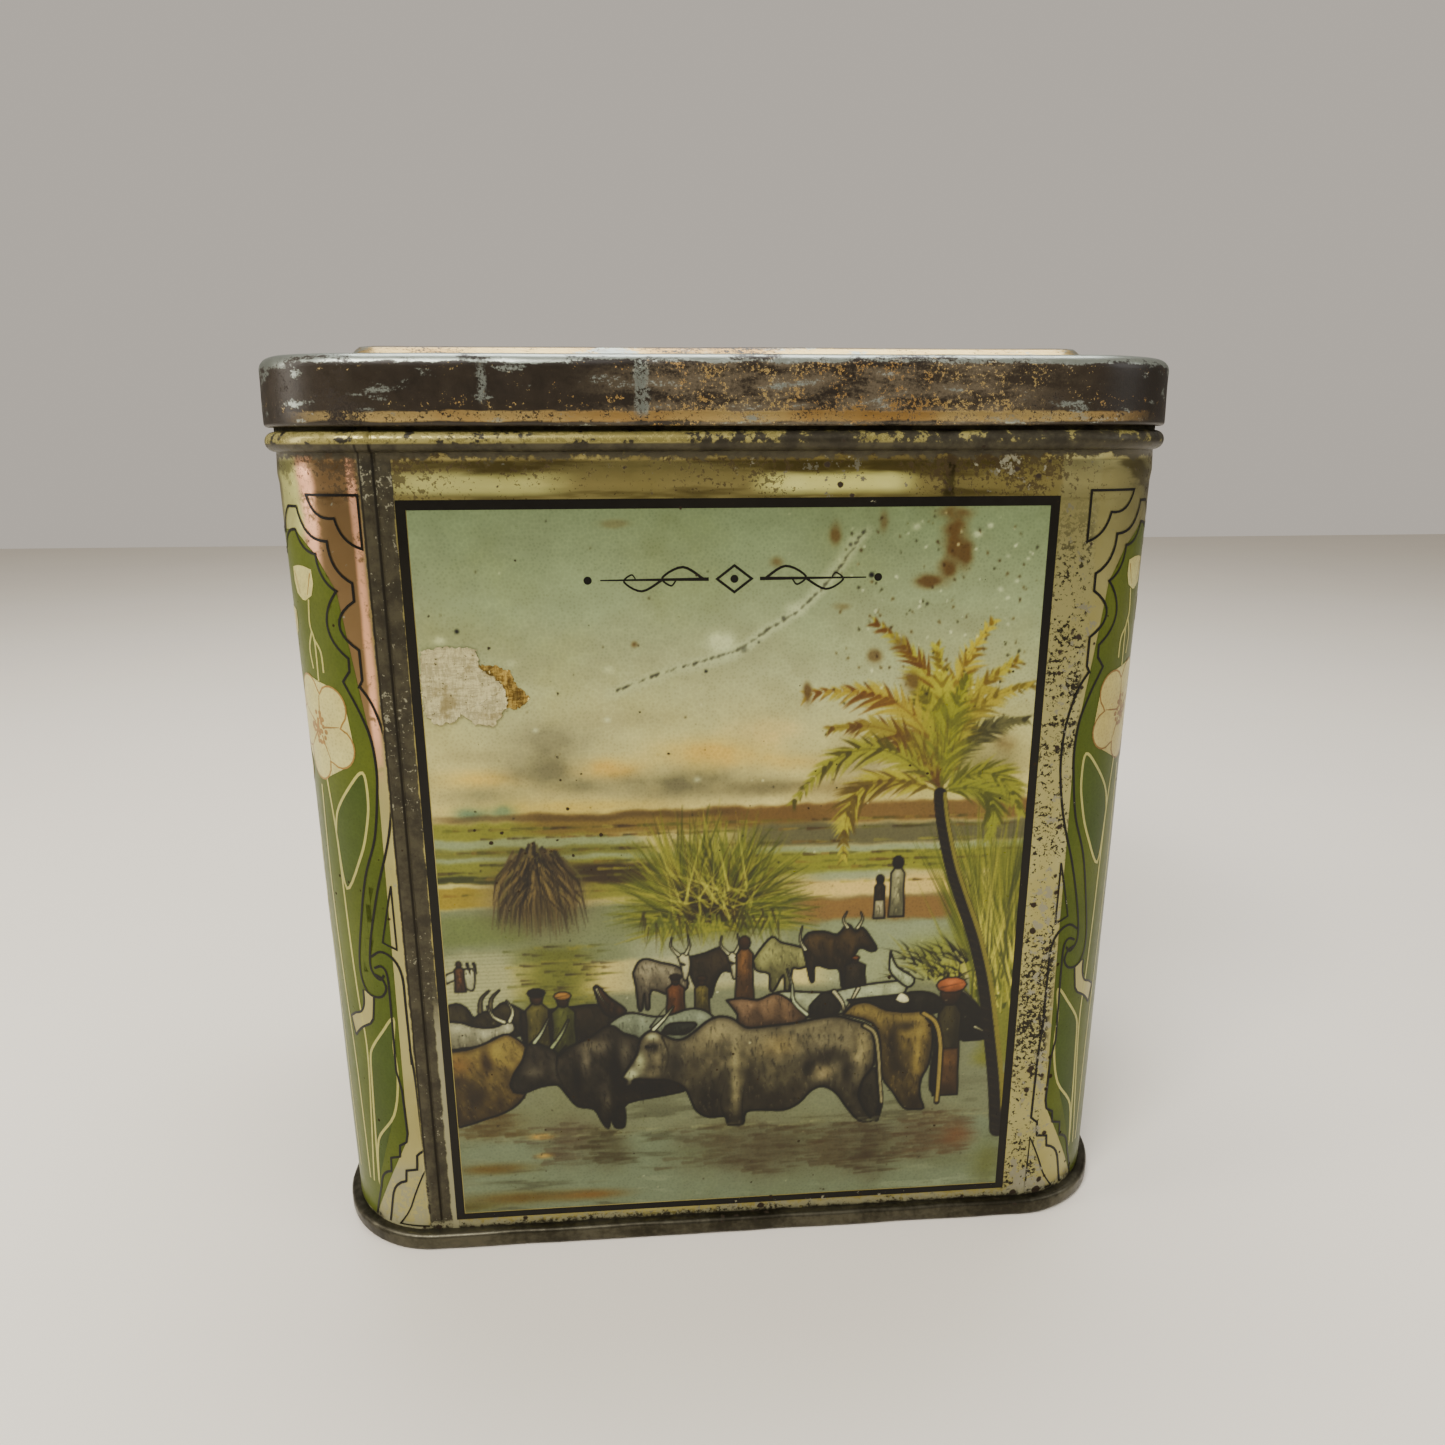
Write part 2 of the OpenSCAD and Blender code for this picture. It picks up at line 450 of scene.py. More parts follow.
# a printed ink over the tin: its own colours, the stipple, and the shared chips, rust and grime
def inkMaterial(name, colour, second=None, *, stipple, rough, chips, attribute=None, gloss=0.3):
    material, tree, shader = newTree(name, gloss)
    vector, (x, y, z) = coordinates(tree)
    wear = place(tree, wearGroup, Amount=chips)
    base = colour
    if attribute:
        base = put(tree, "ShaderNodeAttribute", attribute_name=attribute).outputs["Color"]
    if second:
        base = mixColour(tree, step(tree, grain(tree, vector, 26, 4), 0.36, 0.64), colour, second)
    if stipple:
        base = place(tree, stippleGroup, Colour=base, Strength=stipple).outputs["Colour"]
    base = mixColour(tree, times(tree, wear.outputs["Grime"], 0.4), base, metal["grime"], "MULTIPLY")
    base = mixColour(tree, wear.outputs["Chips"], base, metal["bare"])
    base = mixColour(tree, wear.outputs["Rust"], base, metal["rust"])
    tree.links.new(base, shader.inputs["Base Color"])
    bare = times(tree, wear.outputs["Chips"], less(tree, 1.0, wear.outputs["Rust"]))
    tree.links.new(times(tree, bare, 0.6), shader.inputs["Metallic"])
    roughness = mixValue(tree, wear.outputs["Fine"], rough - 0.1, rough + 0.14)
    tree.links.new(mixValue(tree, wear.outputs["Rust"], roughness, 0.85), shader.inputs["Roughness"])
    bumped(tree, shader, added(tree, wear.outputs["Chips"], grain(tree, vector, 900, 2)), 0.00003, 0.35)
    return material


# gold lacquer over tin: bare and dark along the bead, the seam and the rim, rosy round the front left corner
# with painted pink reflections and a painted highlight, and painted highlights and shade on the band above
# the picture
def lacquerMaterial():
    material, tree, shader = newTree("goldLacquer", 0.35)
    vector, (x, y, z) = coordinates(tree)
    spot = place(tree, placeGroup)
    along, front = spot.outputs["Along"], spot.outputs["Front"]
    wear = place(tree, wearGroup, Amount=1.0)
    coarse = grain(tree, vector, 45, 4, 0.6)
    ragged = grain(tree, vector, 230, 5, 0.7)
    fine = grain(tree, vector, 1100, 3, 0.7)
    base = mixColour(tree, step(tree, coarse, 0.3, 0.7), metal["gold"], metal["oldGold"])
    base = mixColour(tree, step(tree, z, 166, 169), base, metal["bandGold"])
    turnedCorner = times(tree, front, window(tree, calc(tree, "ABSOLUTE", along), 69.5, 104, 1.5))
    base = mixColour(tree, times(tree, turnedCorner, 0.55), base, metal["silver"])
    # the front left corner: a rosy tint beside the seam that is partly a painted pink reflection, a painted
    # pale gold highlight further round, and brown in its upper part
    rosyTintAndReflection = times(tree, front, window(tree, along, -85, -69.5, 1.5), step(tree, wander(tree, z, coarse, 30),
        108, 128))
    base = mixColour(tree, times(tree, rosyTintAndReflection, 0.85), base, metal["roseTintAndReflection"])
    # painted pink reflections: a bright stripe beside the seam and another further round the corner
    paintedPinkReflection = most(tree, window(tree, wander(tree, along, coarse, 1.6), -71.6, -70.0, 0.5),
        window(tree, wander(tree, along, coarse, 6), -84, -79.5, 1.2))
    paintedPinkReflection = times(tree, paintedPinkReflection, rosyTintAndReflection, step(tree, wander(tree, ragged, fine, 0.4), 0.34, 0.5))
    base = mixColour(tree, times(tree, paintedPinkReflection, 0.9), base, metal["paintedPink"])
    # a painted highlight: pale gold where the curved corner catches the light
    paintedCornerHighlight = times(tree, front, window(tree, wander(tree, along, coarse, 8), -92, -84, 1.5),
        step(tree, z, 118, 150))
    base = mixColour(tree, times(tree, paintedCornerHighlight, 0.8), base, metal["highlightGold"])
    # speckled metal down the right of the picture, thicker with dark spots lower down
    right = times(tree, front, window(tree, wander(tree, along, ragged, 2.5), 64.0, 72.0, 0.8))
    speckle = step(tree, wander(tree, wander(tree, fine, coarse, 0.5), ragged, 0.5), 0.50, 0.58)
    base = mixColour(tree, times(tree, right, 0.75), base, metal["silver"])
    specks = times(tree, right, speckle, step(tree, z, 172, 150))
    base = mixColour(tree, specks, base, metal["darkSpeckAndShade"])
    # pressed ridges along the band above the picture: painted shade along the ridges, darker above, painted
    # highlights in one bright stretch, and painted shade in a dark dent
    streak = grain(tree, vector, 120, 4, 0.6, stretch=(0.22, 1.0, 1.5))
    above = step(tree, z, 165, 168)
    # painted shade along the pressed ridges, in the rust freckles' colour
    paintedRidgeShade = times(tree, above, step(tree, added(tree, streak, times(tree, step(tree, z, 169, 174), 0.10)),
        0.50, 0.62))
    base = mixColour(tree, times(tree, paintedRidgeShade, mixValue(tree, front, 0.2, 0.65)), base, metal["freckle"])
    # painted highlights along the ridge: a bright stretch, and a weaker one to its left
    paintedBandHighlight = times(tree, front, window(tree, wander(tree, z, streak, 3), 168.2, 171.6, 0.8),
        most(tree, window(tree, wander(tree, along, coarse, 12), 7, 33, 5),
        times(tree, window(tree, wander(tree, along, coarse, 14), -62, -34, 6), 0.6)))
    base = mixColour(tree, times(tree, paintedBandHighlight, 0.9), base, metal["highlightGold"])
    # painted shade: a dark line down the dent
    dent = times(tree, front, above, window(tree, wander(tree, along, ragged, 7), 40.4, 42.2, 0.5))
    base = mixColour(tree, times(tree, dent, 0.7), base, metal["darkSpeckAndShade"])
    # rust freckles on that band, thickest along its top
    freckle = step(tree, added(tree, wander(tree, fine, coarse, 0.7), times(tree, step(tree, z, 167, 176),
        0.10)), 0.60, 0.67)
    freckles = times(tree, freckle, above)
    base = mixColour(tree, times(tree, freckles, 0.85), base, metal["freckle"])
    # bare metal: the bead and all above it, with a ragged edge, and the seam's strip on the front
    height = wander(tree, z, ragged, 7)
    bead = step(tree, height, beadZ - 3.4, beadZ - 2.6)
    strip = times(tree, front, window(tree, wander(tree, along, ragged, 1.4), -69.6, -63.6, 0.15))
    paleEdge = times(tree, front, window(tree, wander(tree, along, ragged, 1.6), -64.6, -63.2, 0.2),
        step(tree, wander(tree, z, coarse, 60), 74, 50))
    foot = step(tree, wander(tree, z, ragged, 8), 5.6, 4.6)
    bare = most(tree, bead, strip, foot)
    darkness = mixColour(tree, step(tree, ragged, 0.35, 0.65), metal["dark"], metal["darkWorn"])
    darkness = mixColour(tree, times(tree, strip, step(tree, wander(tree, fine, coarse, 0.6), 0.66, 0.72)),
        darkness, metal["bare"])
    groove = most(tree, window(tree, along, -69.5, -69.1, 0.12), window(tree, along, -67.1, -66.7, 0.12))
    darkness = mixColour(tree, times(tree, front, groove), darkness, metal["darkSpeckAndShade"])
    base = mixColour(tree, times(tree, wear.outputs["Grime"], 0.4), base, metal["grime"], "MULTIPLY")
    base = mixColour(tree, wear.outputs["Chips"], base, metal["bare"])
    base = mixColour(tree, bare, base, darkness)
    # lacquer left on the bead's upper side, mostly at the left, and pale scuffs by the seam and the rim
    left = mixValue(tree, step(tree, along, -30, 30), 0.10, -0.04)
    kept = step(tree, added(tree, wander(tree, ragged, fine, 0.3), left), 0.50, 0.56)
    kept = times(tree, kept, window(tree, z, beadZ - 0.3, beadZ + 1.9, 0.25))
    base = mixColour(tree, kept, base, metal["oldGold"])
    scuff = times(tree, window(tree, wander(tree, z, ragged, 3), 4.3, 6.0, 0.4),
        step(tree, wander(tree, fine, coarse, 0.5), 0.44, 0.52))
    corner = times(tree, front, window(tree, wander(tree, along, coarse, 6), -82, -70, 1.5),
        step(tree, wander(tree, z, coarse, 14), 24, 15))
    cream = most(tree, paleEdge, times(tree, scuff, 0.8), times(tree, corner,
        step(tree, wander(tree, ragged, fine, 0.5), 0.56, 0.50)))
    base = mixColour(tree, cream, base, metal["cream"])
    base = mixColour(tree, wear.outputs["Rust"], base, metal["rust"])
    tree.links.new(base, shader.inputs["Base Color"])
    shine = mixValue(tree, most(tree, bare, freckles, specks), 0.85, 0.5)
    shine = mixValue(tree, cream, shine, 0.1)
    tree.links.new(mixValue(tree, wear.outputs["Rust"], shine, 0.05), shader.inputs["Metallic"])
    roughness = mixValue(tree, bare, mixValue(tree, ragged, 0.22, 0.40), mixValue(tree, ragged, 0.34,
        0.58))
    roughness = mixValue(tree, kept, roughness, 0.25)
    roughness = mixValue(tree, most(tree, freckles, cream), roughness, 0.6)
    tree.links.new(mixValue(tree, wear.outputs["Rust"], roughness, 0.85), shader.inputs["Roughness"])
    bumped(tree, shader, added(tree, wear.outputs["Rust"], ragged), 0.00004, 0.4)
    return material


def bareTinMaterial(name, light, dark, rusty):
    material, tree, shader = newTree(name, 0.35)
    vector, (x, y, z) = coordinates(tree)
    coarse = grain(tree, vector, 60, 5, 0.62)
    fine = grain(tree, vector, 700, 3, 0.6)
    rust = step(tree, added(tree, coarse, times(tree, less(tree, fine, 0.5), 0.5)), 0.78 - 0.3 * rusty,
        0.84 - 0.3 * rusty)
    base = mixColour(tree, step(tree, wander(tree, coarse, fine, 0.4), 0.3, 0.65), light, dark)
    base = mixColour(tree, rust, base, metal["rust"])
    tree.links.new(base, shader.inputs["Base Color"])
    tree.links.new(mixValue(tree, rust, 0.85, 0.1), shader.inputs["Metallic"])
    tree.links.new(mixValue(tree, rust, mixValue(tree, fine, 0.28, 0.5), 0.85), shader.inputs["Roughness"])
    bumped(tree, shader, added(tree, fine, rust), 0.00005, 0.4)
    return material


# brown lacquer with copper flecks along the lid's front, worn to grey metal on its edges, with a painted
# sheen over the middle of its front
def lidMaterial():
    material, tree, shader = newTree("lidLacquer", 0.35)
    vector, (x, y, z) = coordinates(tree)
    fine = grain(tree, vector, 1900, 3, 0.75)
    medium = grain(tree, vector, 420, 4, 0.7)
    streak = grain(tree, vector, 170, 4, 0.65, stretch=(0.5, 1.0, 1.8))
    coarse = grain(tree, vector, 42, 4, 0.6)
    up = less(tree, z, lidLow.z)  # height above the skirt's lower edge
    away = place(tree, placeGroup).outputs["Along"]
    along = mixValue(tree, step(tree, up, 12.0, 12.4), away, x)  # on top, straight across
    # how far out from the corners' centres
    outX, outY = [most(tree, less(tree, calc(tree, "ABSOLUTE", part), half), 0.0) for part,
        half in ((x, halfX), (y, halfY))]
    out = calc(tree, "SQRT", added(tree, times(tree, outX, outX), times(tree, outY, outY)))
    base = mixColour(tree, step(tree, wander(tree, coarse, medium, 0.5), 0.3, 0.7), lidTone["dark"],
        lidTone["brown"])
    # a painted sheen: lighter streaks over the middle of the lid's front, where it reflects the room
    paintedSheen = times(tree, window(tree, wander(tree, along, coarse, 24), -24, 60, 12),
        step(tree, wander(tree, streak, fine, 0.5), 0.36, 0.6))
    base = mixColour(tree, times(tree, paintedSheen, 0.75), base, lidTone["paintedSheen"])
    # copper shows through in flecks, mostly over the middle and right of the skirt, and in a band low down,
    # which is partly copper and partly a painted reflection along the hem
    across = times(tree, window(tree, wander(tree, along, coarse, 20), -20, 62, 8), 0.085)
    upper = times(tree, window(tree, up, 9.0, 11.5, 1.2), 0.035)
    lower = times(tree, window(tree, wander(tree, up, streak, 3), 1.5, 5.0, 1.2), 0.045)
    backs = times(tree, step(tree, y, 20, 50), 0.05)
    level = added(tree, added(tree, across, upper), added(tree, lower, backs))
    level = added(tree, level, wander(tree, times(tree, fine, 0.75), medium, 0.55))
    flecks = step(tree, level, 0.548, 0.585)
    reach = step(tree, calc(tree, "ABSOLUTE", wander(tree, along, coarse, 16)), 84, 60)
    # the band along the hem: copper, and a painted reflection where the hem turns
    hemCopperAndReflection = times(tree, window(tree, wander(tree, up, streak, 1.6), 0.9, 2.6, 0.25), reach,
        step(tree, wander(tree, fine, medium, 0.5), 0.36, 0.46))
    slope = times(tree, window(tree, up, 13.1, 15.0, 0.2), step(tree, wander(tree, fine, coarse, 0.8),
        0.34, 0.46))
    copper = most(tree, flecks, hemCopperAndReflection, slope)
    copperTone = mixColour(tree, step(tree, coarse, 0.35, 0.6), lidTone["copper"], lidTone["paleCopper"])
    base = mixColour(tree, copper, base, copperTone)
    # grey worn metal along the rounded top edge, on the corners, and on the creases
    edge = times(tree, step(tree, up, 10.5, 11.5), step(tree, out, 18.5, 21.5))
    away = calc(tree, "ABSOLUTE", away)
    corners = times(tree, step(tree, away, 74, 92), step(tree, away, 122, 104))
    top = step(tree, up, 12.0, 12.5)
    worn = added(tree, times(tree, edge, 0.20), times(tree, times(tree, corners, step(tree, up, 4, 11)),
        0.10))
    worn = added(tree, worn, times(tree, top, 0.06))
    greyWear = step(tree, added(tree, worn, wander(tree, streak, fine, 0.35)), 0.60, 0.70)
    creaseAt = wander(tree, along, medium, 3.0)
    crease = times(tree, window(tree, creaseAt, -18.4, -16.2, 0.5), step(tree, up, 1.0, 3.0),
        step(tree, y, -48, -54), step(tree, wander(tree, fine, streak, 0.6), 0.42, 0.5))
    ding = times(tree, window(tree, creaseAt, -46.5, -45.4, 0.4), window(tree, up, 5, 10, 1.5),
        step(tree, fine, 0.42, 0.5))
    greyWear = most(tree, greyWear, crease, ding)
    base = mixColour(tree, greyWear, base, lidTone["worn"])
    rust = step(tree, wander(tree, coarse, fine, 0.4), 0.66, 0.72)
    base = mixColour(tree, rust, base, lidTone["rust"])
    tree.links.new(base, shader.inputs["Base Color"])
    shiny = most(tree, copper, greyWear)
    tree.links.new(mixValue(tree, rust, mixValue(tree, shiny, 0.1, 0.9), 0.05), shader.inputs["Metallic"])
    roughness = mixValue(tree, shiny, mixValue(tree, medium, 0.30, 0.46), mixValue(tree, medium, 0.24,
        0.40))
    tree.links.new(mixValue(tree, rust, roughness, 0.8), shader.inputs["Roughness"])
    height = added(tree, times(tree, copper, -0.5), added(tree, fine, times(tree, coarse, 1.5)))
    bumped(tree, shader, height, 0.00006, 0.5)
    return material


goldLacquer = lacquerMaterial()
insideTin = bareTinMaterial("insideTin", tint(176, 168, 152), tint(140, 128, 108), 0.25)
rimTin = bareTinMaterial("rimTin", tint(128, 122, 120), tint(98, 92, 88), 0.35)
solderMetal = bareTinMaterial("solderMetal", tint(172, 172, 168), tint(132, 131, 128), 0.1)
lidLacquer = lidMaterial()
print("materials of the metal parts made")

# the body's wall: outside, bead, neck, rolled hem and the inside, carried round as one closed profile


def makeWall():
    bead, sheet, hem = tin["beadRadius"], tin["sheet"], tin["neckHem"]
    low = 2 * sheet
    profile = risePoints(cornerR, low, beadZ - bead, 2.0)
    profile += arcPoints(cornerR, beadZ, bead, -90, 90, 14)
    profile += risePoints(cornerR, beadZ + bead, neckTop - hem, 2.5)[1:-1]
    profile += arcPoints(cornerR - hem, neckTop - hem, hem, 0, 230, 9)
    profile += risePoints(cornerR - sheet, neckTop - 2.4 * hem, beadZ + bead - sheet, 5)
    profile += arcPoints(cornerR - sheet, beadZ, bead - sheet, 90, -90, 10)[1:-1]
    profile += risePoints(cornerR - sheet, beadZ - bead + sheet, low, 8)
    mesh = bmesh.new()
    sweepRound(mesh, addChain(mesh, profile, closed=True), tin["flatStep"], tin["cornerSteps"])
    # more columns at the seam, which lies where the front turns into the left corner
    for away in (-3.4, -3.0, -2.6, -0.5, -0.3, -0.1, 0.1, 0.3, 0.5, 0.8):
        turn = max(0, abs(tin["seamAt"] + away) - halfX) / cornerR
        near = [f for f in mesh.faces if f.calc_center_median().x < -60 and f.calc_center_median().y < -40]
        parts = set(near) | {e for f in near for e in f.edges} | {v for f in near for v in f.verts}
        bmesh.ops.bisect_plane(mesh, geom=list(parts), dist=0.001, plane_co=(max(-halfX,
            tin["seamAt"] + away), -halfY, 0), plane_no=(math.cos(turn), -math.sin(turn), 0))
    pushDents(mesh)
    for face in mesh.faces:
        middle = face.calc_center_median()
        along, out = alongWall(middle)
        core, way = wallWay(along)
        face.material_index = 1 if face.normal.dot(way) < -0.2 and out < cornerR - 0.1 + bead else 0
    return finishPiece("tin_wall", mesh, "tin", [goldLacquer, insideTin], "body_shell")


makeWall()
print("wall made")

# the bottom end: a crimped rim round a recessed panel

bottom = {"rimOut": 2.3, "rimRound": 1.0, "recess": 3.0, "grooveInset": 9.0, "grooveDepth": 0.5}


def makeBottomEnd():
    out, curve, sheet = bottom["rimOut"], bottom["rimRound"], tin["sheet"]
    rimX = cornerR + out - curve
    profile = [(0, bottom["recess"] + sheet), (cornerR - 2 * sheet, bottom["recess"] + sheet)]
    profile += [(cornerR - 2 * sheet, rimHeight - 0.1), (cornerR - 0.3, rimHeight)]
    profile += [(rimX - 0.6, rimHeight)] + arcPoints(rimX, rimHeight - curve, curve, 90, 0, 6)
    profile += arcPoints(rimX, curve, curve, 0, -90, 6)
    profile += arcPoints(cornerR - 2 * sheet + 0.4, 0.4, 0.4, -90, -180, 4)
    profile += arcPoints(cornerR - 2 * sheet - 1.0, bottom["recess"] - 0.6, 0.6, 0, 90, 5)
    inset, deep = bottom["grooveInset"], bottom["grooveDepth"]
    for part in range(9):
        profile.append((cornerR - inset - part * 0.5,
            bottom["recess"] - deep * math.sin(math.pi * part / 8) ** 2))
    profile += [(0, bottom["recess"])]
    mesh = bmesh.new()
    sweepRound(mesh, addChain(mesh, profile), 3.0, 16)
    for vert in mesh.verts:
        along, far = alongWall(vert.co)
        if far > cornerR + 0.5:  # little knocks in the rim
            core, way = wallWay(along)
            knock = noise.noise(Vector((along * 0.09, vert.co.z * 0.3, 1.7)))
            vert.co -= way * max(0, 0.28 * knock + 0.05)
    edges = [e for e in mesh.edges if e.is_boundary]
    bmesh.ops.holes_fill(mesh, edges=edges, sides=0)
    bmesh.ops.recalc_face_normals(mesh, faces=mesh.faces)
    for face in mesh.faces:
        middle = face.calc_center_median()
        inside = middle.z > bottom["recess"] + 0.3 and alongWall(middle)[1] < cornerR - 1
        face.material_index = int(abs(face.normal.z) > 0.9 and inside)
    return finishPiece("bottom_panel_and_rim", mesh, "tin", [rimTin, insideTin], "bottom_end")


makeBottomEnd()
print("bottom end made")

# the lid: skirt with a rolled hem, rounded shoulder, flat band, sloping sides and a raised platform

lidShape = {
    "hem": 0.7, "shoulder": 2.5, "platformInset": 16.0, "slope": 3.0, "rise": 2.8,
    # dents in the skirt: along, height below the top, half width, half height, depth
    "dents": [(-17, 4, 1.6, 6, 0.35), (-44, 3, 3, 4, 0.35), (34, 1.5, 3.5, 2.5, 0.35), (60, 5, 8, 5, 0.3),
              (96, 4, 6, 5, 0.4), (-92, 3, 6, 4, 0.35), (140, 6, 12, 5, 0.5), (250, 5, 20, 5, 0.5)],
}


def makeLid():
    sheet, hem, shoulder = tin["sheet"], lidShape["hem"], lidShape["shoulder"]
    face = cornerR + tin["skirtOut"]
    top = lidHigh.z - lidShape["rise"]
    low = lidLow.z
    foot = face - lidShape["platformInset"]
    crest = foot - lidShape["slope"]
    profile = [(0, lidHigh.z), (crest - 0.8, lidHigh.z), (crest, lidHigh.z - 0.1),
        (crest + 0.6, lidHigh.z - 0.55)]
    profile += [(foot - 0.6, top + 0.5), (foot, top + 0.1), (foot + 0.8, top)]
    profile += [(foot + 4, top), (face - shoulder - 3, top)]
    profile += arcPoints(face - shoulder, top - shoulder, shoulder, 90, 0, 9)
    profile += risePoints(face, top - shoulder, low + hem, 1.6)[1:-1]
    profile += arcPoints(face - hem, low + hem, hem, 0, -215, 10)
    inner = face - sheet
    profile += risePoints(inner, low + 2.2 * hem, top - shoulder, 3)
    profile += arcPoints(face - shoulder, top - shoulder, shoulder - sheet, 0, 90, 6)[1:]
    profile += [(foot, top - sheet), (crest, lidHigh.z - sheet), (0, lidHigh.z - sheet)]
    mesh = bmesh.new()
    sweepRound(mesh, addChain(mesh, profile), 1.6, 24)
    for vert in mesh.verts:
        along, out = alongWall(vert.co)
        if out > face - 3:
            core, way = wallWay(along)
            push = 0.10 * noise.noise(Vector((along * 0.05, vert.co.z * 0.08, 7.1))) - 0.1
            for middle, down, halfWide, halfHigh, depth in lidShape["dents"]:
                away = ((along - middle) / halfWide) ** 2 + ((top - down - vert.co.z) / halfHigh) ** 2
                push -= depth * math.exp(-away) if away < 9 else 0
            vert.co += way * push
            vert.co.z += min(0, 0.25 * noise.noise(Vector((along * 0.03, 2.2, 0.4)))) * smooth(vert.co.z,
                top - 3, top)
        else:
            sag = 0.35 * noise.noise(Vector((vert.co.x * 0.03, vert.co.y * 0.03, 3.3))) - 0.35
            vert.co.z += min(0, sag) * smooth(face - 3 - out, 0, 6)
    bmesh.ops.holes_fill(mesh, edges=[e for e in mesh.edges if e.is_boundary], sides=0)
    bmesh.ops.recalc_face_normals(mesh, faces=mesh.faces)
    for part in mesh.faces:
        middle = part.calc_center_median()
        along, out = alongWall(middle)
        core, way = wallWay(along)
        under = part.normal.z < -0.3 and middle.z > low + 2
        inward = part.normal.dot(way) < -0.3 and middle.z < top - 0.3 and out > foot + 5
        part.material_index = int(under or inward)
    return finishPiece("slip_lid", mesh, "lid", [lidLacquer, insideTin], "lid")


makeLid()
print("lid made")

# the solder keeps its own mesh
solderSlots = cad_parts["side_seam_solder"].data.materials
for index in range(len(solderSlots)):
    solderSlots[index] = solderMetal
if not solderSlots:
    solderSlots.append(solderMetal)

# printed artwork: drawn flat, as (along the wall, height) in millimetres, then wrapped round the tin


# points of an arc; its bulge is the rise over half the chord, to the left of the way it goes
def arcTo(start, stop, bulge, count=8):
    half = Vector((stop[0] - start[0], stop[1] - start[1])) / 2
    middle = Vector(start) + half
    side = Vector((-half.y, half.x))
    points = []
    for i in range(count + 1):
        t = -1 + 2 * i / count
        points.append(tuple(middle + half * t + side * bulge * (1 - t * t)))
    return points


# a smooth curve through points
def flow(points, count):
    full = [points[0]] + list(points) + [points[-1]]
    curve = []
    for a, b, c, d in zip(full, full[1:], full[2:], full[3:]):
        for i in range(count):
            t = i / count
            curve.append(tuple(0.5 * (2 * b[k] + (c[k] - a[k]) * t
                + (2 * a[k] - 5 * b[k] + 4 * c[k] - d[k]) * t * t
                + (3 * b[k] - a[k] - 3 * c[k] + d[k]) * t ** 3) for k in (0, 1)))
    return curve + [tuple(points[-1])]


def addFill(mesh, outline):
    points = [p for p, q in zip(outline, outline[1:] + outline[:1]) if math.dist(p, q) > 0.02]
    face = mesh.faces.new([mesh.verts.new((p[0], p[1], 0)) for p in points])
    bmesh.ops.triangulate(mesh, faces=[face], ngon_method="EAR_CLIP")


# a flat ribbon along a path, which may thin towards its end
def addLine(mesh, path, width, endWidth=None, closed=False):
    points = [Vector(p) for p, q in zip(path, path[1:]) if math.dist(p, q) > 0.02] + [Vector(path[-1])]
    if closed and (points[0] - points[-1]).length < 0.02:
        points.pop()
    count = len(points)
    pairs = []
    for i, point in enumerate(points):
        before = points[i - 1] if i or closed else point
        after = points[(i + 1) % count] if i < count - 1 or closed else point
        first, second = (point - before), (after - point)
        ways = [way.normalized() for way in (first, second) if way.length > 1e-6]
        way = sum(ways, Vector((0, 0)))
        way = way.normalized() if way.length > 1e-3 else ways[0]
        miter = 1 / max(0.45, abs(way.dot(ways[0])))
        share = i / max(1, count - 1)
        half = 0.5 * (width + ((endWidth if endWidth is not None else width) - width) * share) * miter
        side = Vector((-way.y, way.x)) * half
        pairs.append([mesh.verts.new((point.x + s * side.x, point.y + s * side.y, 0)) for s in (-1, 1)])
    for (a, b), (c, d) in zip(pairs, pairs[1:] + (pairs[:1] if closed else [])):
        mesh.faces.new((a, c, d, b))


def addDot(mesh, x, z, radius, sides=14):
    turns = [2 * math.pi * i / sides for i in range(sides)]
    addFill(mesh, [(x + radius * math.cos(t), z + radius * math.sin(t)) for t in turns])


# adds a copy mirrored left to right about a place along the wall
def mirrorArt(mesh, about):
    copy = bmesh.ops.duplicate(mesh, geom=mesh.verts[:] + mesh.edges[:] + mesh.faces[:])["geom"]
    moved = [v for v in copy if isinstance(v, bmesh.types.BMVert)]
    bmesh.ops.scale(mesh, vec=(-1, 1, 1), verts=moved)
    bmesh.ops.translate(mesh, vec=(2 * about, 0, 0), verts=moved)


def cutArt(mesh, spot, way, near=0.0005):
    parts = mesh.verts[:] + mesh.edges[:] + mesh.faces[:]
    bmesh.ops.bisect_plane(mesh, geom=parts, dist=near, plane_co=spot, plane_no=way)


def turnFacesUp(mesh):
    mesh.normal_update()
    bmesh.ops.reverse_faces(mesh, faces=[f for f in mesh.faces if f.normal.z < 0])


# lays flat artwork on the wall, cut into pieces small enough to follow its curves and dents
def wrapArt(mesh, lift):
    left, right = [pick(v.co.x for v in mesh.verts) for pick in (min, max)]
    low, high = [pick(v.co.y for v in mesh.verts) for pick in (min, max)]
    flat, turned = tin["artStep"], cornerArc / tin["cornerSteps"]
    bands = [(-halfX, halfX, flat), (halfX, endStart, turned), (endStart, endStop, flat),
        (endStop, backStart, turned), (backStart, halfRound + halfX, flat)]
    cuts = set()
    for start, stop, wide in bands:
        count = round((stop - start) / wide)
        for i in range(count + 1):
            at = start + (stop - start) * i / count
            cuts |= {round(at, 3), round(-at, 3)}
    for at in sorted(cuts):
        if left < at < right:
            cutArt(mesh, (at, 0, 0), (1, 0, 0))
    for i in range(1, int((high - low) / 4)):
        cutArt(mesh, (0, low + 4 * i, 0), (0, 1, 0))
    turnFacesUp(mesh)
    for vert in mesh.verts:
        along = vert.co.x
        if along > halfRound:
            along -= 2 * halfRound
        vert.co = onWall(along, vert.co.y, lift)


# the two ends: a green field with flowers inside a scrolled border of two black lines

endArt = {"outerLine": 0.55, "greenLine": 0.55, "cream": 0.62, "petals": 5, "petalReach": 11.5,
    "stops": -69.7}  # the border's end beside the folded seam

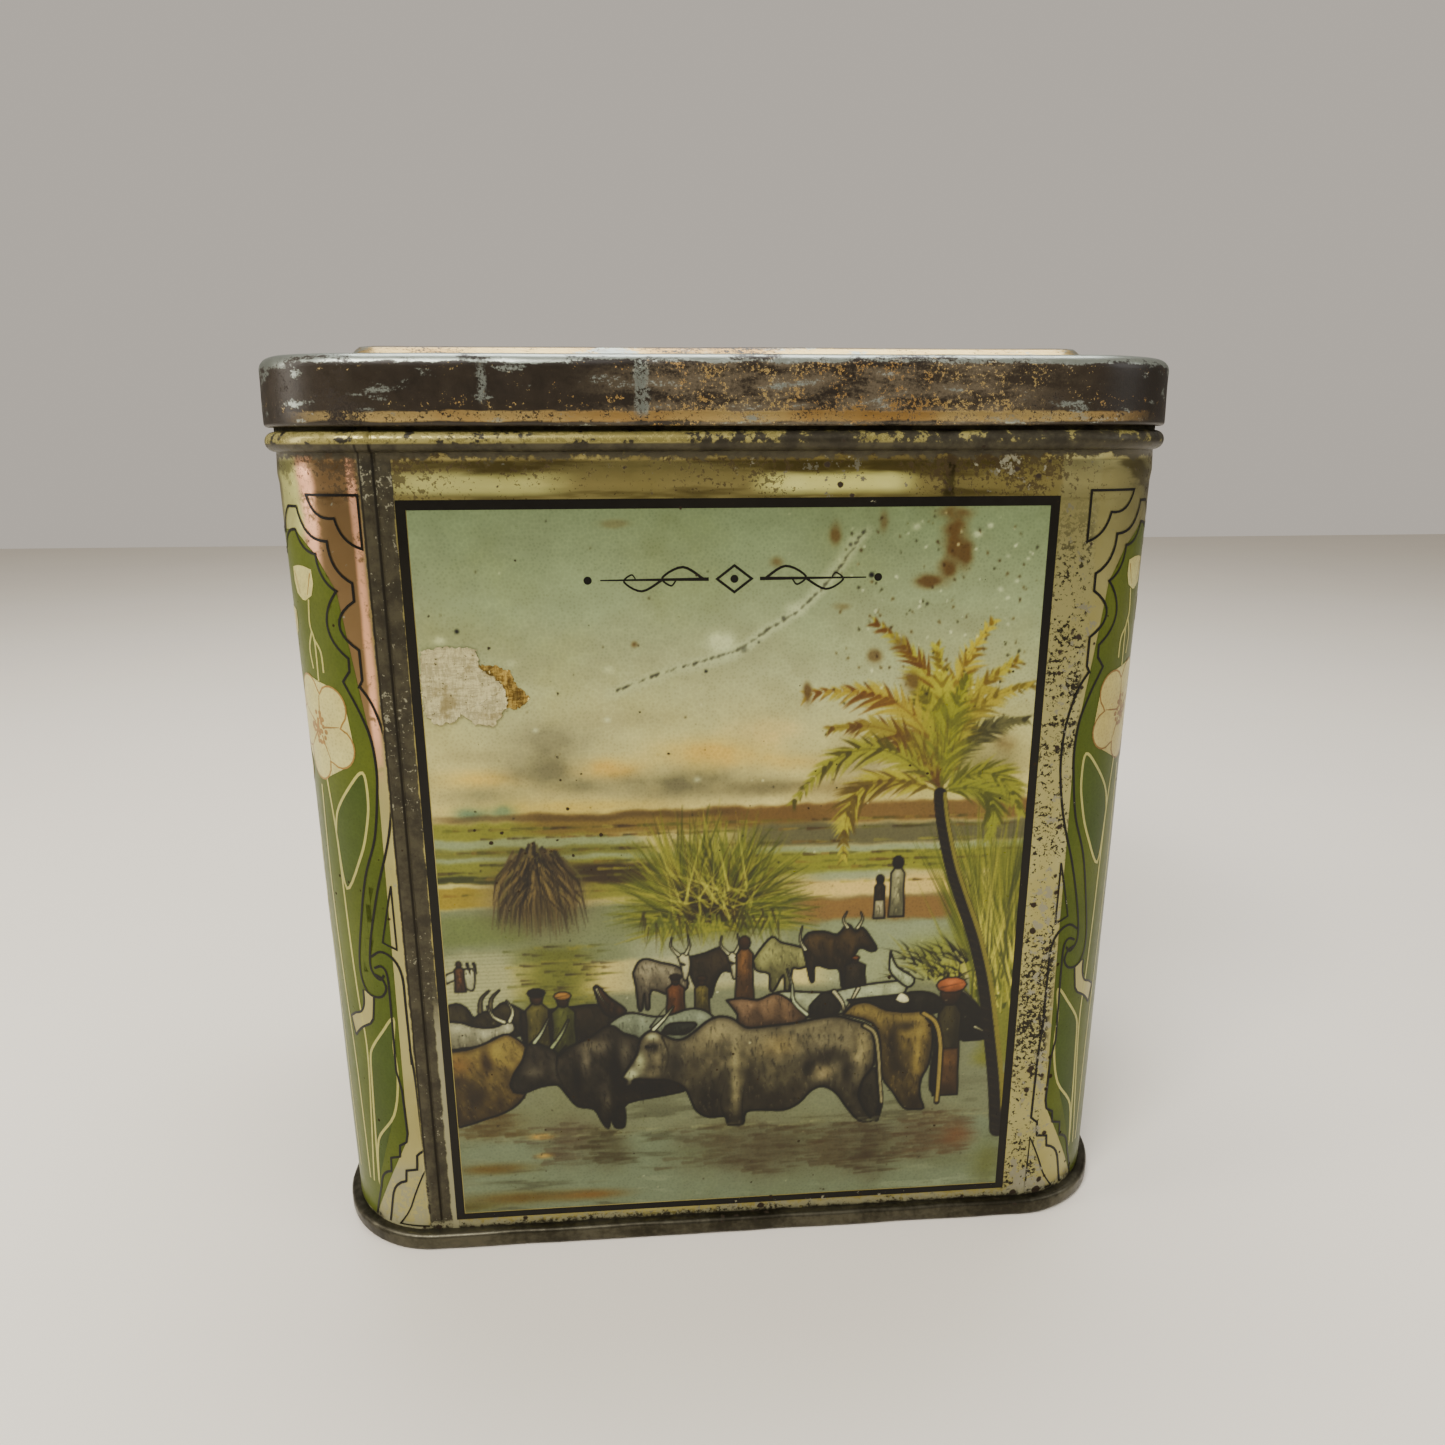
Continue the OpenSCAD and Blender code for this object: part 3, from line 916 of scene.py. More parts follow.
greenInk = inkMaterial("greenInk", tint(120, 129, 56), tint(110, 123, 55), stipple=0.12, chips=0.80,
    rough=0.3, gloss=0.1)
leafInk = inkMaterial("leafInk", tint(100, 117, 62), tint(107, 122, 65), stipple=0.14, chips=0.80,
    rough=0.3, gloss=0.1)
creamInk = inkMaterial("creamInk", tint(180, 172, 112), tint(172, 166, 114), stipple=0.1, chips=0.86,
    rough=0.3)
petalInk = inkMaterial("petalInk", tint(188, 180, 136), tint(182, 166, 114), stipple=0.2, chips=0.84,
    rough=0.3)
orangeInk = inkMaterial("orangeInk", tint(178, 138, 70), tint(160, 118, 56), stipple=0.3, chips=0.86,
    rough=0.3)
blackInk = inkMaterial("blackInk", tint(58, 52, 44), tint(68, 60, 50), stipple=0.0, chips=0.93, rough=0.34,
    gloss=0.2)

outerLine = [(95.5, 160.2)] + arcTo((95.5, 160.2), (91.2, 165.7), -0.25, 5) + [(87.4, 165.7)]
outerLine += arcTo((87.4, 165.7), (79, 159.3), 0.38) + arcTo((79, 159.3), (73.9, 151.5),
    0.32) + [(73.9, 148)]
outerLine += arcTo((73.9, 148), (73.9, 138.4), 0.86, 10) + [(73.9, 132.3), (74.7, 131.0)]
outerLine += flow([(74.6, 131), (72.2, 127.5), (70.3, 121.5), (69.5, 114.8), (69.9, 107.4), (71.7, 98.2),
    (75.3, 87.1), (78.4, 75.5), (79.3, 69.5), (78.6, 67.2), (77.0, 66.1), (75.8, 67.4)], 5)
greenLine = arcTo((89, 161.3), (82.6, 156.8), 0.3) + arcTo((82.6, 156.8), (77.9, 149.8), 0.3)
greenLine += arcTo((77.9, 149.8), (76.6, 136.6), 0.62, 12) + [(76.7, 134), (78.6, 131.8)]
greenLine += flow([(78.6, 131.8), (75.6, 126.5), (73.4, 120.8), (72.7, 114.5), (73.1, 108.5), (74.7, 98.9),
    (78.2, 89.5), (80.9, 78), (82.5, 69.7), (82.4, 65), (81, 62)], 5)
topLine = arcTo((endMiddle, 158.5), (122, 154.5), -0.25) + arcTo((122, 154.5), (108.5, 153.5), -0.35)
topLine += arcTo((108.5, 153.5), (97.5, 156), -0.35) + arcTo((97.5, 156), (89, 161.3), -0.3)
hookOuter = flow([(71.1, 46), (71.2, 60), (71.4, 67.7), (73.2, 71.6), (76.1, 72.9), (78.8, 71.2)], 5)
hookInner = flow([(75.2, 44), (74.9, 60), (75, 67.4), (76.3, 69.4), (78.3, 68.6)], 4)
curl = flow([(78.8, 67.2), (76.6, 66.5), (75.6, 64.2), (77, 62), (79.6, 61.6), (81.7, 62.6)], 4)
pendantOuter = flow([(82.4, 62.4), (82.6, 59), (83.9, 56.6), (86.2, 55.4)], 4) + [(88.4, 53.8),
    (87.8, 51.2), (87.2, 49.3)]
pendantInner = flow([(79.3, 61.4), (79.7, 58.6), (80.2, 55.8)], 4) + [(81.2, 54.4)]
pendantInner += flow([(81.2, 54.4), (84, 52.6), (86, 50.8), (87.2, 49.3)], 4)
lowOuter = flow([(71.2, 50), (70.6, 42), (70.3, 30)], 4) + [(70.2, 24), (72.0, 22.4), (72.3, 18.7),
    (75.2, 17.9), (75.5, 15.2)]
lowOuter += arcTo((75.5, 15.2), (80.2, 10), 0.3, 5) + [(81.6, 4.6)]
lowGreen = [(75.2, 44), (74.2, 39), (73.9, 28), (74.4, 25.6), (76.3, 24.3), (76.6, 21.3), (79.3, 20.2),
    (79.6, 16.6)]
lowGreen += arcTo((79.6, 16.6), (83.6, 12), 0.3, 5) + [(85.4, 8), (86.6, 4.6)]
innerSliver = [(72.0, 88.5), (72.0, 73.8), (75.3, 75.2)]
cornerLeaf = [(70.4, 18.5), (70.2, 5)] + flow([(78.4, 4.8), (75.4, 8.5), (73.4, 12.5), (70.4, 18.5)], 4)
bracket = [(71, 168), (83.6, 168)] + arcTo((83.6, 168), (76.6, 163.7), 0.4) + arcTo((76.6, 163.7),
    (71, 158), 0.3)
leafShapes = [[(86, 98.5), (84.6, 103.5), (80, 109.5), (76.1, 113), (75.4, 107.6), (76.2, 102),
    (78.6, 94.7), (84.2, 86)], [(82.7, 43.6), (81.9, 47.5), (78, 53), (74.6, 57), (75.2, 50), (75.0, 41.7),
    (77.1, 32), (82.9, 23.6), (84.4, 13)], [(103, 60), (99, 74), (96.2, 84), (96.4, 95), (99.4, 86),
    (103.4, 74), (106, 62), (104, 40)], [(112, 30), (108, 48), (105.5, 60), (108, 72), (112.5, 62),
    (115, 46), (116, 30), (113, 14)], [(126, 60), (122, 78), (120.6, 96), (124, 106), (127.6, 92),
    (130, 74), (131, 60), (129, 40)],]
stemPaths = [[(86.7, 147.6), (87.4, 142.6), (86.2, 139), (86.4, 131)], [(86.2, 139.5), (84.4, 137.2),
    (84.2, 133)], [(87, 141), (88.6, 137.5), (88.0, 133.4)], [(87.5, 110), (86, 98.5), (85.4, 84),
    (85.0, 70), (84.4, 59), (83.4, 47), (84.6, 30), (86.5, 12)], [(90.5, 108), (91, 88), (90.2, 64),
    (88.6, 40), (88.2, 12)], [(104.5, 104), (103.6, 80), (104, 52), (104.4, 14)],
    [(118, 140), (117, 112), (114, 80), (112, 46), (110.5, 12)], [(129, 107), (131.4, 84), (131, 48),
    (129, 12)], [(97.5, 138), (98.4, 118), (96.6, 92), (95, 58), (94, 12)],]
flowers = [(88.2, 121, 1.0, 0.35), (106.5, 112.5, 0.92, 0.9), (119.5, 141, 0.8, 0.1)]
buds = [(88.5, 147.3, 1.0), (98, 139, 0.9), (129, 107, 0.9)]


def flowerOutline(x, z, size, turn):
    ring = []
    for i in range(60):
        t = 2 * math.pi * i / 60
        wave = abs(math.cos(endArt["petals"] / 2 * t + turn)) ** 0.5
        reach = endArt["petalReach"] * size * (0.50 + 0.50 * wave)
        ring.append((x + reach * math.cos(t), z + reach * math.sin(t)))
    return ring


def budOutline(x, z, size):
    half = [(0.6, 0), (3.2, 1.2), (4.2, 3.6), (4.0, 6.4), (2.4, 4.4), (1.2, 6.9), (0, 5.2)]
    right = [(x + size * a, z + size * b) for a, b in half]
    left = [(x - size * a, z + size * b) for a, b in reversed(half[:-1])]
    return right + left


# the print as it lies on this tin: drawn a little wide, it is drawn in round the corner and up from the rim
def settle(mesh):
    for vert in mesh.verts:
        x, z = vert.co.x, vert.co.y
        vert.co.x -= (0.8 + 0.105 * (x - 71)) * (1 - smooth(x, 96, 130))
        vert.co.y += (1 - z / 165) * (0.9 + 0.09 * (min(x, 96) - 64)) * smooth(z, 4.7, 18)


def endPiece(name, material, lift, draw):
    mesh = bmesh.new()
    draw(mesh)
    settle(mesh)
    mirrorArt(mesh, endMiddle)
    # the border stops at the folded seam on the left, and the other end has a copy
    mirrorArt(mesh, 0)
    cutArt(mesh, (endArt["stops"], 0, 0), (1, 0, 0), 0.001)
    hidden = [f for f in mesh.faces if endArt["stops"] < f.calc_center_median().x < 0]
    bmesh.ops.delete(mesh, geom=hidden, context="FACES")
    wrapArt(mesh, lift)
    return finishPiece(name, mesh, "tin", [material])


def drawGreen(mesh):
    addFill(mesh, topLine + greenLine + hookInnerEdge() + [(86.6, 4.6), (endMiddle, 4.6)])


# the green field's edge below the scroll, back up round the hook and down the straight border
def hookInnerEdge():
    return [(79.3, 61.4), (77.6, 66), (78.3, 68.6)] + list(reversed(hookInner)) + lowGreen[1:]


def drawLeaves(mesh):
    for leaf in leafShapes:
        addFill(mesh, flow(leaf + leaf[:1], 5)[:-1])


def drawCream(mesh):
    for leaf in leafShapes:
        addLine(mesh, flow(leaf + leaf[:1], 5), endArt["cream"])
    for path in stemPaths:
        addLine(mesh, flow(path, 6), endArt["cream"], 0.55)


def drawPetals(mesh):
    for x, z, size, turn in flowers:
        addFill(mesh, flowerOutline(x, z, size, turn))
    for x, z, size in buds:
        addFill(mesh, budOutline(x, z, size))


def drawOrange(mesh):
    chance = random.Random(5)
    petals = endArt["petals"]
    for x, z, size, turn in flowers:
        addLine(mesh, flowerOutline(x, z, size, turn), 0.4, closed=True)
        for i in range(petals):
            t = (math.pi * (2 * i + 1) / petals) - 2 * turn / petals
            reach = endArt["petalReach"] * size
            vein = [(x + reach * k * math.cos(t), z + reach * k * math.sin(t)) for k in (0.16, 0.4, 0.62)]
            addLine(mesh, vein, 0.5, 0.15)
        for i in range(34):
            t, r = chance.uniform(0, 6.28), 3.3 * size * math.sqrt(chance.random())
            addDot(mesh, x + r * math.cos(t), z + r * math.sin(t), 0.55, sides=8)
    for x, z, size in buds:
        for side in (-1, 1):
            addLine(mesh, [(x + side * 3.4 * size, z + 5.6 * size), (x + side * 1.6 * size,
                z + 1.2 * size)], 0.35, 0.15)


def drawPendant(mesh):
    addFill(mesh, pendantOuter + list(reversed(pendantInner)))


def drawLines(mesh):
    wide = endArt["outerLine"]
    for path in (outerLine, hookOuter, hookInner, curl, pendantOuter, pendantInner, lowOuter, lowGreen):
        addLine(mesh, path, wide)
    addLine(mesh, greenLine, endArt["greenLine"])
    addLine(mesh, bracket, 0.5, closed=True)
    addLine(mesh, innerSliver + innerSliver[:1], 0.4)
    addLine(mesh, cornerLeaf, 0.4, closed=True)
    addLine(mesh, topLine, wide)
    addLine(mesh, [(x, z + 4.2) for x, z in topLine if x > 95.6] + [(95.5, 160.2)], wide)


endPiece("end_green_field", greenInk, 0.035, drawGreen)
endPiece("end_leaves", leafInk, 0.055, drawLeaves)
endPiece("end_pendants", goldLacquer, 0.075, drawPendant)
endPiece("end_cream_stems", creamInk, 0.075, drawCream)
endPiece("end_flowers", petalInk, 0.095, drawPetals)
endPiece("end_flower_hearts", orangeInk, 0.115, drawOrange)
endPiece("end_border_lines", blackInk, 0.115, drawLines)
print("ends' artwork made")

# the picture: painted by soft strokes and shapes on a sheet of points, whose colours the picture pieces take

picture = {
    "left": -62.3, "right": 62.4, "low": 7.2, "high": 165.9,
    "cell": 0.262,     # between points of the front picture
    "backCell": 0.46,  # between points of the picture on the back
    "frameOut": (-63.4, 63.9, 6.3, 167.0),
    "lift": 0.035,     # above the wall
    "width": 0.992, "height": 0.9905, "aside": 0.3, "up": 0.9,  # from the drawing to the tin
}
across = np.arange(picture["left"], picture["right"] + 0.01, picture["cell"])
upward = np.arange(picture["low"], picture["high"] + 0.01, picture["cell"])
gridX, gridZ = np.meshgrid(across, upward)
canvas = np.zeros(gridX.shape + (3,))


# values on a lattice read between its points, by whole steps and the shares of the next
def between(values, ix, iz, fx, fz):
    lower = values[iz, ix] * (1 - fx) + values[iz, ix + 1] * fx
    upper = values[iz + 1, ix] * (1 - fx) + values[iz + 1, ix + 1] * fx
    return lower * (1 - fz) + upper * fz


# smooth random drift over the sheet, from -1 to 1, with patches of a width and a height in millimetres
def driftField(wide, high, seed, octaves=3):
    chance = np.random.RandomState(seed)
    total = np.zeros(gridX.shape)
    size = 1.0
    for _ in range(octaves):
        nodes = chance.uniform(-1, 1, (int(165 / high) + 4, int(130 / wide) + 4))
        px, pz = (gridX - picture["left"]) / wide, (gridZ - picture["low"]) / high
        ix, iz = px.astype(int), pz.astype(int)
        fx, fz = px - ix, pz - iz
        total += size * between(nodes, ix, iz, fx * fx * (3 - 2 * fx), fz * fz * (3 - 2 * fz))
        wide, high, size = wide / 2, high / 2, size / 2
    return total / 1.4


broad = driftField(22, 14, 1)
ragged = driftField(5, 3, 2)
streaks = driftField(9, 1.3, 3)
furry = driftField(1.6, 2.4, 4, 2)
speckle = driftField(0.8, 0.8, 6, 1)


def shade(red, green, blue):
    return np.array([red, green, blue]) / 255


# the part of the sheet round some points
def areaOf(points, margin):
    xs, zs = [p[0] for p in points], [p[1] for p in points]
    first = np.searchsorted(across, (min(xs) - margin, max(xs) + margin))
    second = np.searchsorted(upward, (min(zs) - margin, max(zs) + margin))
    return slice(second[0], second[1]), slice(first[0], first[1])


def cover(area, mask, colour):
    mask = np.clip(mask, 0, 1)[..., None]
    canvas[area] = canvas[area] * (1 - mask) + np.asarray(colour) * mask


def easeStep(value, low, high):
    t = np.clip((value - low) / (high - low), 0, 1)
    return t * t * (3 - 2 * t)


# a soft-edged band across the picture; its edges wander with the drift
def wash(low, high, colour, soft, left, right, strength, sideSoft=5.0):
    z = gridZ + 0.6 * ragged
    mask = easeStep(z, low - soft, low + soft) * (1 - easeStep(z, high - soft, high + soft))
    x = gridX + 1.5 * ragged
    mask *= easeStep(x, left - sideSoft, left + sideSoft)
    mask *= 1 - easeStep(x, right - sideSoft, right + sideSoft)
    cover((slice(None), slice(None)), mask * strength, shade(*colour))


# a soft cloud or tuft, which may be kept inside an outline
def puff(x, z, wide, high, colour, strength, rough=0.5, within=None):
    area = areaOf([(x - 2 * wide, z - 2 * high), (x + 2 * wide, z + 2 * high)], 1)
    if not gridX[area].size:
        return
    away = ((gridX[area] - x) / wide) ** 2 + ((gridZ[area] - z) / high) ** 2
    mask = np.clip(np.exp(-away * 1.3 + rough * ragged[area] + 0.3 * rough * furry[area]) - 0.03, 0, 1)
    if within:
        mask *= np.clip((insideBy(area, within) - 0.25) / 0.4, 0, 1)
    cover(area, mask * strength, shade(*colour))


# how far inside an outline each point is, less than 0 outside
def insideBy(area, points):
    gx, gz = gridX[area], gridZ[area]
    inside = np.zeros(gx.shape, bool)
    away = np.full(gx.shape, 1e3)
    for a, b in zip(points, points[1:] + points[:1]):
        dx, dz = b[0] - a[0], b[1] - a[1]
        t = np.clip(((gx - a[0]) * dx + (gz - a[1]) * dz) / (dx * dx + dz * dz + 1e-9), 0, 1)
        away = np.minimum(away, np.hypot(gx - a[0] - t * dx, gz - a[1] - t * dz))
        if dz:
            crosses = (a[1] > gz) != (b[1] > gz)
            inside ^= crosses & (gx < dx * (gz - a[1]) / dz + a[0])
    return np.where(inside, 1, -1) * away


def brush(points, width, colour, strength, taper=0.2, soft=0.24):
    area = areaOf(points, width)
    gx, gz = gridX[area], gridZ[area]
    if not gx.size:
        return
    mask = np.zeros(gx.shape)
    count = len(points) - 1
    for i in range(count):
        (ax, az), (bx, bz) = points[i], points[i + 1]
        dx, dz = bx - ax, bz - az
        t = np.clip(((gx - ax) * dx + (gz - az) * dz) / (dx * dx + dz * dz + 1e-9), 0, 1)
        away = np.hypot(gx - ax - t * dx, gz - az - t * dz)
        half = 0.5 * width * (1 + (taper - 1) * (i + t) / count)
        mask = np.maximum(mask, np.clip((half - away) / soft + 0.5, 0, 1) * np.minimum(1, half * 4))
    cover(area, mask * strength, shade(*colour))


# a filled outline, lit from above: light on top, dark below, with fur or folds
def body(points, light, dark):
    area = areaOf(points, 1.5)
    if not gridX[area].size:
        return
    depth = insideBy(area, points)
    low, high = [pick(p[1] for p in points) for pick in (min, max)]
    tone = (gridZ[area] - low) / (high - low)
    tone = np.clip(tone + 0.3 * furry[area] + 0.105 * ragged[area] + 0.1, 0, 1)
    tone = tone * (0.55 + 0.45 * easeStep(depth, 0, 1.6))
    fill = shade(*dark) + (shade(*light) - shade(*dark)) * tone[..., None]
    cover(area, np.clip(depth / 0.3 + 0.5, 0, 1), fill)


# a bent blade from one point to another; its sag bows it to the side or down
def blade(x, z, turn, length, sag):
    points = []
    for i in range(6):
        t = i / 5
        points.append((x + length * t * math.sin(turn) + 0.25 * sag * t * t * math.copysign(1,
            math.sin(turn)), z + length * t * math.cos(turn) - sag * t * t))
    return points


def tuft(x, z, wide, low, high, lengths, tones, count, width, seed, sag, ground=2.0):
    chance = random.Random(seed)
    for i in range(count):
        turn = math.radians(chance.uniform(low, high))
        length = chance.uniform(*lengths) * (0.6 + 0.4 * abs(math.cos(turn)))
        start = (x + chance.uniform(-wide, wide), z + chance.uniform(-ground, ground))
        drop = sag * length * abs(math.sin(turn)) * chance.uniform(0.5, 1.3)
        tone = tones[chance.randrange(len(tones))]
        brush(blade(start[0], start[1], turn, length, drop), width * chance.uniform(0.7, 1.3), tone, 0.8,
            0.25)


def paintSkyAndLand():
    stops = [(104, (188, 174, 126)), (112, (190, 180, 136)), (122, (181, 176, 140)),
        (134, (166, 168, 142)), (148, (150, 160, 136)), (166, (132, 146, 122))]
    heights = [z for z, tone in stops]
    for k in range(3):
        canvas[..., k] = np.interp(gridZ + 5 * broad + 1.5 * ragged, heights,
            [tone[k] for z, tone in stops]) / 255
    canvas[...] = canvas * (1 + 0.035 * broad[..., None] + 0.03 * ragged[..., None])
    for x, z, wide, high, tone, strength in [(-52, 112, 9, 2.2, (204, 172, 92), 0.8),
            (-26, 113.5, 8, 2.6, (206, 168, 84), 0.85), (-4, 116, 13, 3.6, (206, 170, 90), 0.8),
            (6, 121, 8, 3, (204, 176, 118), 0.6), (12, 114, 8, 2, (204, 170, 92), 0.6),
            (-34, 105.5, 24, 1.6, (196, 172, 96), 0.8), (-38, 120, 11, 4.8, (146, 140, 120), 0.75),
            (-40, 114, 9, 4.4, (132, 126, 108), 0.8), (-52, 108.5, 8, 2.2, (150, 144, 112), 0.7),
            (-32, 110, 8, 2.0, (136, 130, 106), 0.7), (-11, 109.8, 16, 3.6, (130, 124, 104), 0.85),
            (4, 108.5, 14, 2.0, (134, 124, 98), 0.7), (26, 113, 8, 5, (150, 138, 112), 0.5),
            (24, 108, 12, 2, (150, 130, 92), 0.5), (-22, 124, 12, 2.4, (164, 156, 126), 0.5),
            (-52, 117, 7, 1.8, (158, 148, 118), 0.5), (54, 113, 8, 5, (128, 122, 92), 0.5),
            (-54, 104.5, 4, 1.8, (120, 148, 128), 0.9), (-48, 104.8, 3, 1.6, (124, 150, 128), 0.8)]:
        puff(x, z, wide, high, tone, strength)
    wash(98.6, 102.4, (146, 146, 56), 0.7, -70, -28, 1.0)
    wash(99.4, 104.2, (146, 120, 58), 0.8, -44, 18, 0.9)
    wash(100.4, 104.6, (142, 106, 54), 0.7, -4, 70, 0.85)
    wash(102.6, 104.2, (112, 84, 50), 0.5, -62, 0, 0.5)
    wash(96.6, 98.9, (148, 158, 132), 0.5, -70, -20, 0.95)
    wash(95, 100, (118, 114, 88), 0.8, 2, 70, 0.9)
    wash(93.8, 96.9, (130, 132, 60), 0.6, -70, -18, 0.9)
    wash(93, 94.8, (150, 160, 136), 0.5, -70, 70, 0.9)
    wash(88.6, 93.2, (148, 148, 48), 0.6, 0, 70, 1.0)
    wash(90.4, 93.6, (142, 144, 56), 0.6, -70, -22, 0.95)
    wash(87.4, 92.4, (88, 62, 40), 0.8, -36, -14, 0.9)
    wash(89.0, 90.6, (82, 92, 42), 0.4, -70, -34, 0.9)
    wash(83.6, 88.6, (166, 146, 46), 0.6, -70, -52, 1.0)
    wash(88.0, 88.8, (190, 186, 150), 0.3, -66, -50, 0.7)
    wash(70, 83.4, (134, 142, 116), 0.8, -70, 70, 0.95)
    wash(75, 81.5, (122, 136, 74), 1.4, -64, -44, 0.6)
    wash(84.4, 88.4, (148, 146, 54), 0.6, -34, -12, 0.95)
    wash(83.0, 87.4, (202, 176, 120), 0.9, 14, 52, 1.0)
    wash(87.0, 89.2, (150, 160, 142), 0.7, 16, 34, 0.8)
    wash(77.4, 82.8, (158, 122, 70), 0.9, 12, 50, 1.0)
    wash(60, 77, (152, 160, 142), 1.2, 20, 48, 0.9)
    wash(62, 76, (164, 166, 150), 2.0, -22, 10, 0.7)
    # clumps of grass along the banks
    chance = random.Random(8)
    for i in range(420):
        x, z = chance.uniform(-62, 62), chance.choice((91.5, 93.2, 96, 99, 101, 86.5, 90))
        tone = chance.choice(((120, 122, 40), (96, 98, 44), (160, 154, 60), (92, 66, 40), (150, 110, 50)))
        brush([(x, z), (x + chance.uniform(2, 6), z + chance.uniform(-0.3, 0.3))],
            chance.uniform(0.4, 0.9), tone, 0.45)


def paintWater():
    wash(6, 36, (132, 142, 126), 1.0, -70, 70, 1.0)
    wash(26, 62, (136, 140, 120), 1.5, -70, 70, 1.0)
    area = (slice(None), slice(None))
    lower = 1 - easeStep(gridZ, 28, 40)
    cover(area, lower * easeStep(streaks + 0.5 * broad, 0.1, 0.7) * 0.6, shade(104, 104, 82))
    cover(area, lower * easeStep(streaks - 0.5 * broad, 0.35, 0.9) * 0.4, shade(156, 166, 150))
    wash(58, 73, (166, 166, 138), 1.4, -64, -47, 0.9)
    chance = random.Random(21)
    for i in range(16):
        z = 59.5 + i * 0.9
        brush([(-62, z), (-46 + 2 * math.sin(i), z + 0.1)], 0.28, (112, 112, 84), 0.45, 0.8)
    wash(59, 73.5, (124, 128, 50), 1.5, -46, -32, 0.9)
    for i in range(70):
        x, z = chance.uniform(-50, -28), chance.uniform(60, 74)
        tone = chance.choice(((150, 144, 56), (104, 110, 44), (92, 78, 46)))
        brush([(x, z), (x + chance.uniform(2, 6), z)], 0.6, tone, 0.5)
    # brown reflections under the cattle, drawn with upright and level strokes
    for x, wide, low, high, tone in [(-38, 5, 19, 30, (116, 98, 78)), (-29, 4.5, 18, 28, (104, 92, 62)),
            (-4, 9, 15, 27, (112, 98, 74)), (8, 8, 13, 27, (108, 90, 66)), (24, 7, 13, 26, (112, 92, 68)),
            (32, 4, 12, 26, (104, 84, 60)), (43, 6, 15, 28, (116, 92, 68)),
            (51, 4, 16, 26, (124, 100, 74)), (-54, 6, 27, 33, (120, 100, 60))]:
        puff(x, (low + high) / 2, wide * 1.25, (high - low) / 1.7, tone, 0.62, 0.5)
        for i in range(40):
            px = x + chance.gauss(0, wide * 0.6)
            pz = chance.uniform(low, high)
            brush([(px - chance.uniform(1, 3.5), pz), (px + chance.uniform(1, 3.5), pz + 0.1)],
                chance.uniform(0.6, 1.2), tone, 0.42)
    for x, z, wide, high, tone, strength in [(-55, 18.6, 9, 1.5, (134, 108, 48), 1),
            (-50, 10.4, 15, 1.8, (134, 110, 48), 1), (-34, 10.2, 9, 1.4, (150, 112, 52), 0.95),
            (-61, 8.6, 7, 1.4, (120, 110, 46), 1), (-44, 26.6, 3, 0.9, (196, 154, 84), 1),
            (-43.6, 21.4, 2, 0.8, (190, 160, 96), 1), (52, 21, 4, 3, (150, 100, 64), 0.8),
            (50, 14, 7, 2, (120, 128, 104), 0.7), (-10, 20, 8, 2, (124, 132, 110), 0.7),
            (60, 13, 4, 6, (120, 124, 62), 0.7)]:
        puff(x, z, wide, high, tone, strength, 0.25)


def paintBushes():
    browns = ((112, 92, 66), (92, 74, 54), (132, 114, 84), (78, 62, 46), (120, 112, 70))
    greens = ((130, 135, 34), (110, 119, 32), (148, 147, 44), (90, 98, 32), (160, 155, 54))
    darks = ((78, 76, 34), (88, 66, 34))
    # the brown bush: strokes fall from its crown all round
    puff(-42, 86, 11, 8.6, (110, 92, 66), 1.0, 0.15)
    for start, reach, tones, count, width, seed in ((98, 17, browns, 480, 0.66, 31),
            (96, 15, ((66, 52, 38), (150, 128, 84)), 170, 0.4, 33)):
        chance = random.Random(seed)
        for i in range(count):
            side = chance.uniform(-1, 1)
            x, z = -42 + side * chance.uniform(1, 7), start - chance.uniform(0, 9) - 3 * abs(side)
            long = chance.uniform(0.4, 1) * reach * (1 - 0.3 * abs(side))
            brush([(x, z), (x + side * long * 0.32, z - long * 0.35), (x + side * long * 0.42,
                z - long * 0.85)], width, tones[chance.randrange(len(tones))], 0.8, 0.3)
    # the reed bush: a wide fan of blades from its foot
    puff(-5, 86, 17, 11, (116, 120, 40), 1.0, 0.15)
    puff(-5, 79, 17, 4, (122, 124, 40), 0.95, 0.2)
    tuft(-5, 79, 8, -88, 88, (13, 26), greens, 900, 0.8, 34, 0.24, 3)
    tuft(-5, 80, 5, -72, 72, (8, 22), darks, 170, 0.42, 35, 0.22)
    tuft(-5, 82, 9, -80, 80, (10, 22), ((184, 180, 82), (168, 166, 62)), 70, 0.4, 40, 0.22, 4)
    tuft(-5, 79, 15, 150, 210, (3, 8), ((150, 150, 50), (92, 84, 38), (110, 120, 46)), 130, 0.5, 36, 0)
    # tall grass at the right edge, and strokes of grass on the near bank
    wash(40, 94, (136, 138, 48), 2.0, 56, 70, 0.95, sideSoft=2.0)
    tuft(58, 62, 5, -24, 16, (24, 40), greens, 260, 0.7, 37, 0.15, 8)
    tuft(58, 60, 5, -24, 14, (18, 34), ((100, 106, 40), (196, 184, 90)), 60, 0.5, 38, 0.15, 8)
    puff(45, 69, 8, 4.5, (146, 150, 62), 0.9, 0.4)
    puff(47, 64.5, 6, 3, (160, 160, 62), 0.9, 0.4)
    tuft(44, 66, 8, -75, -20, (4, 8), ((44, 42, 26), (70, 70, 36), (150, 150, 60)), 80, 0.45, 39, 0.3, 4)
    tuft(47, 62, 4, -60, 60, (2, 5), ((44, 42, 26), (170, 168, 70)), 50, 0.4, 41, 0.3, 1)


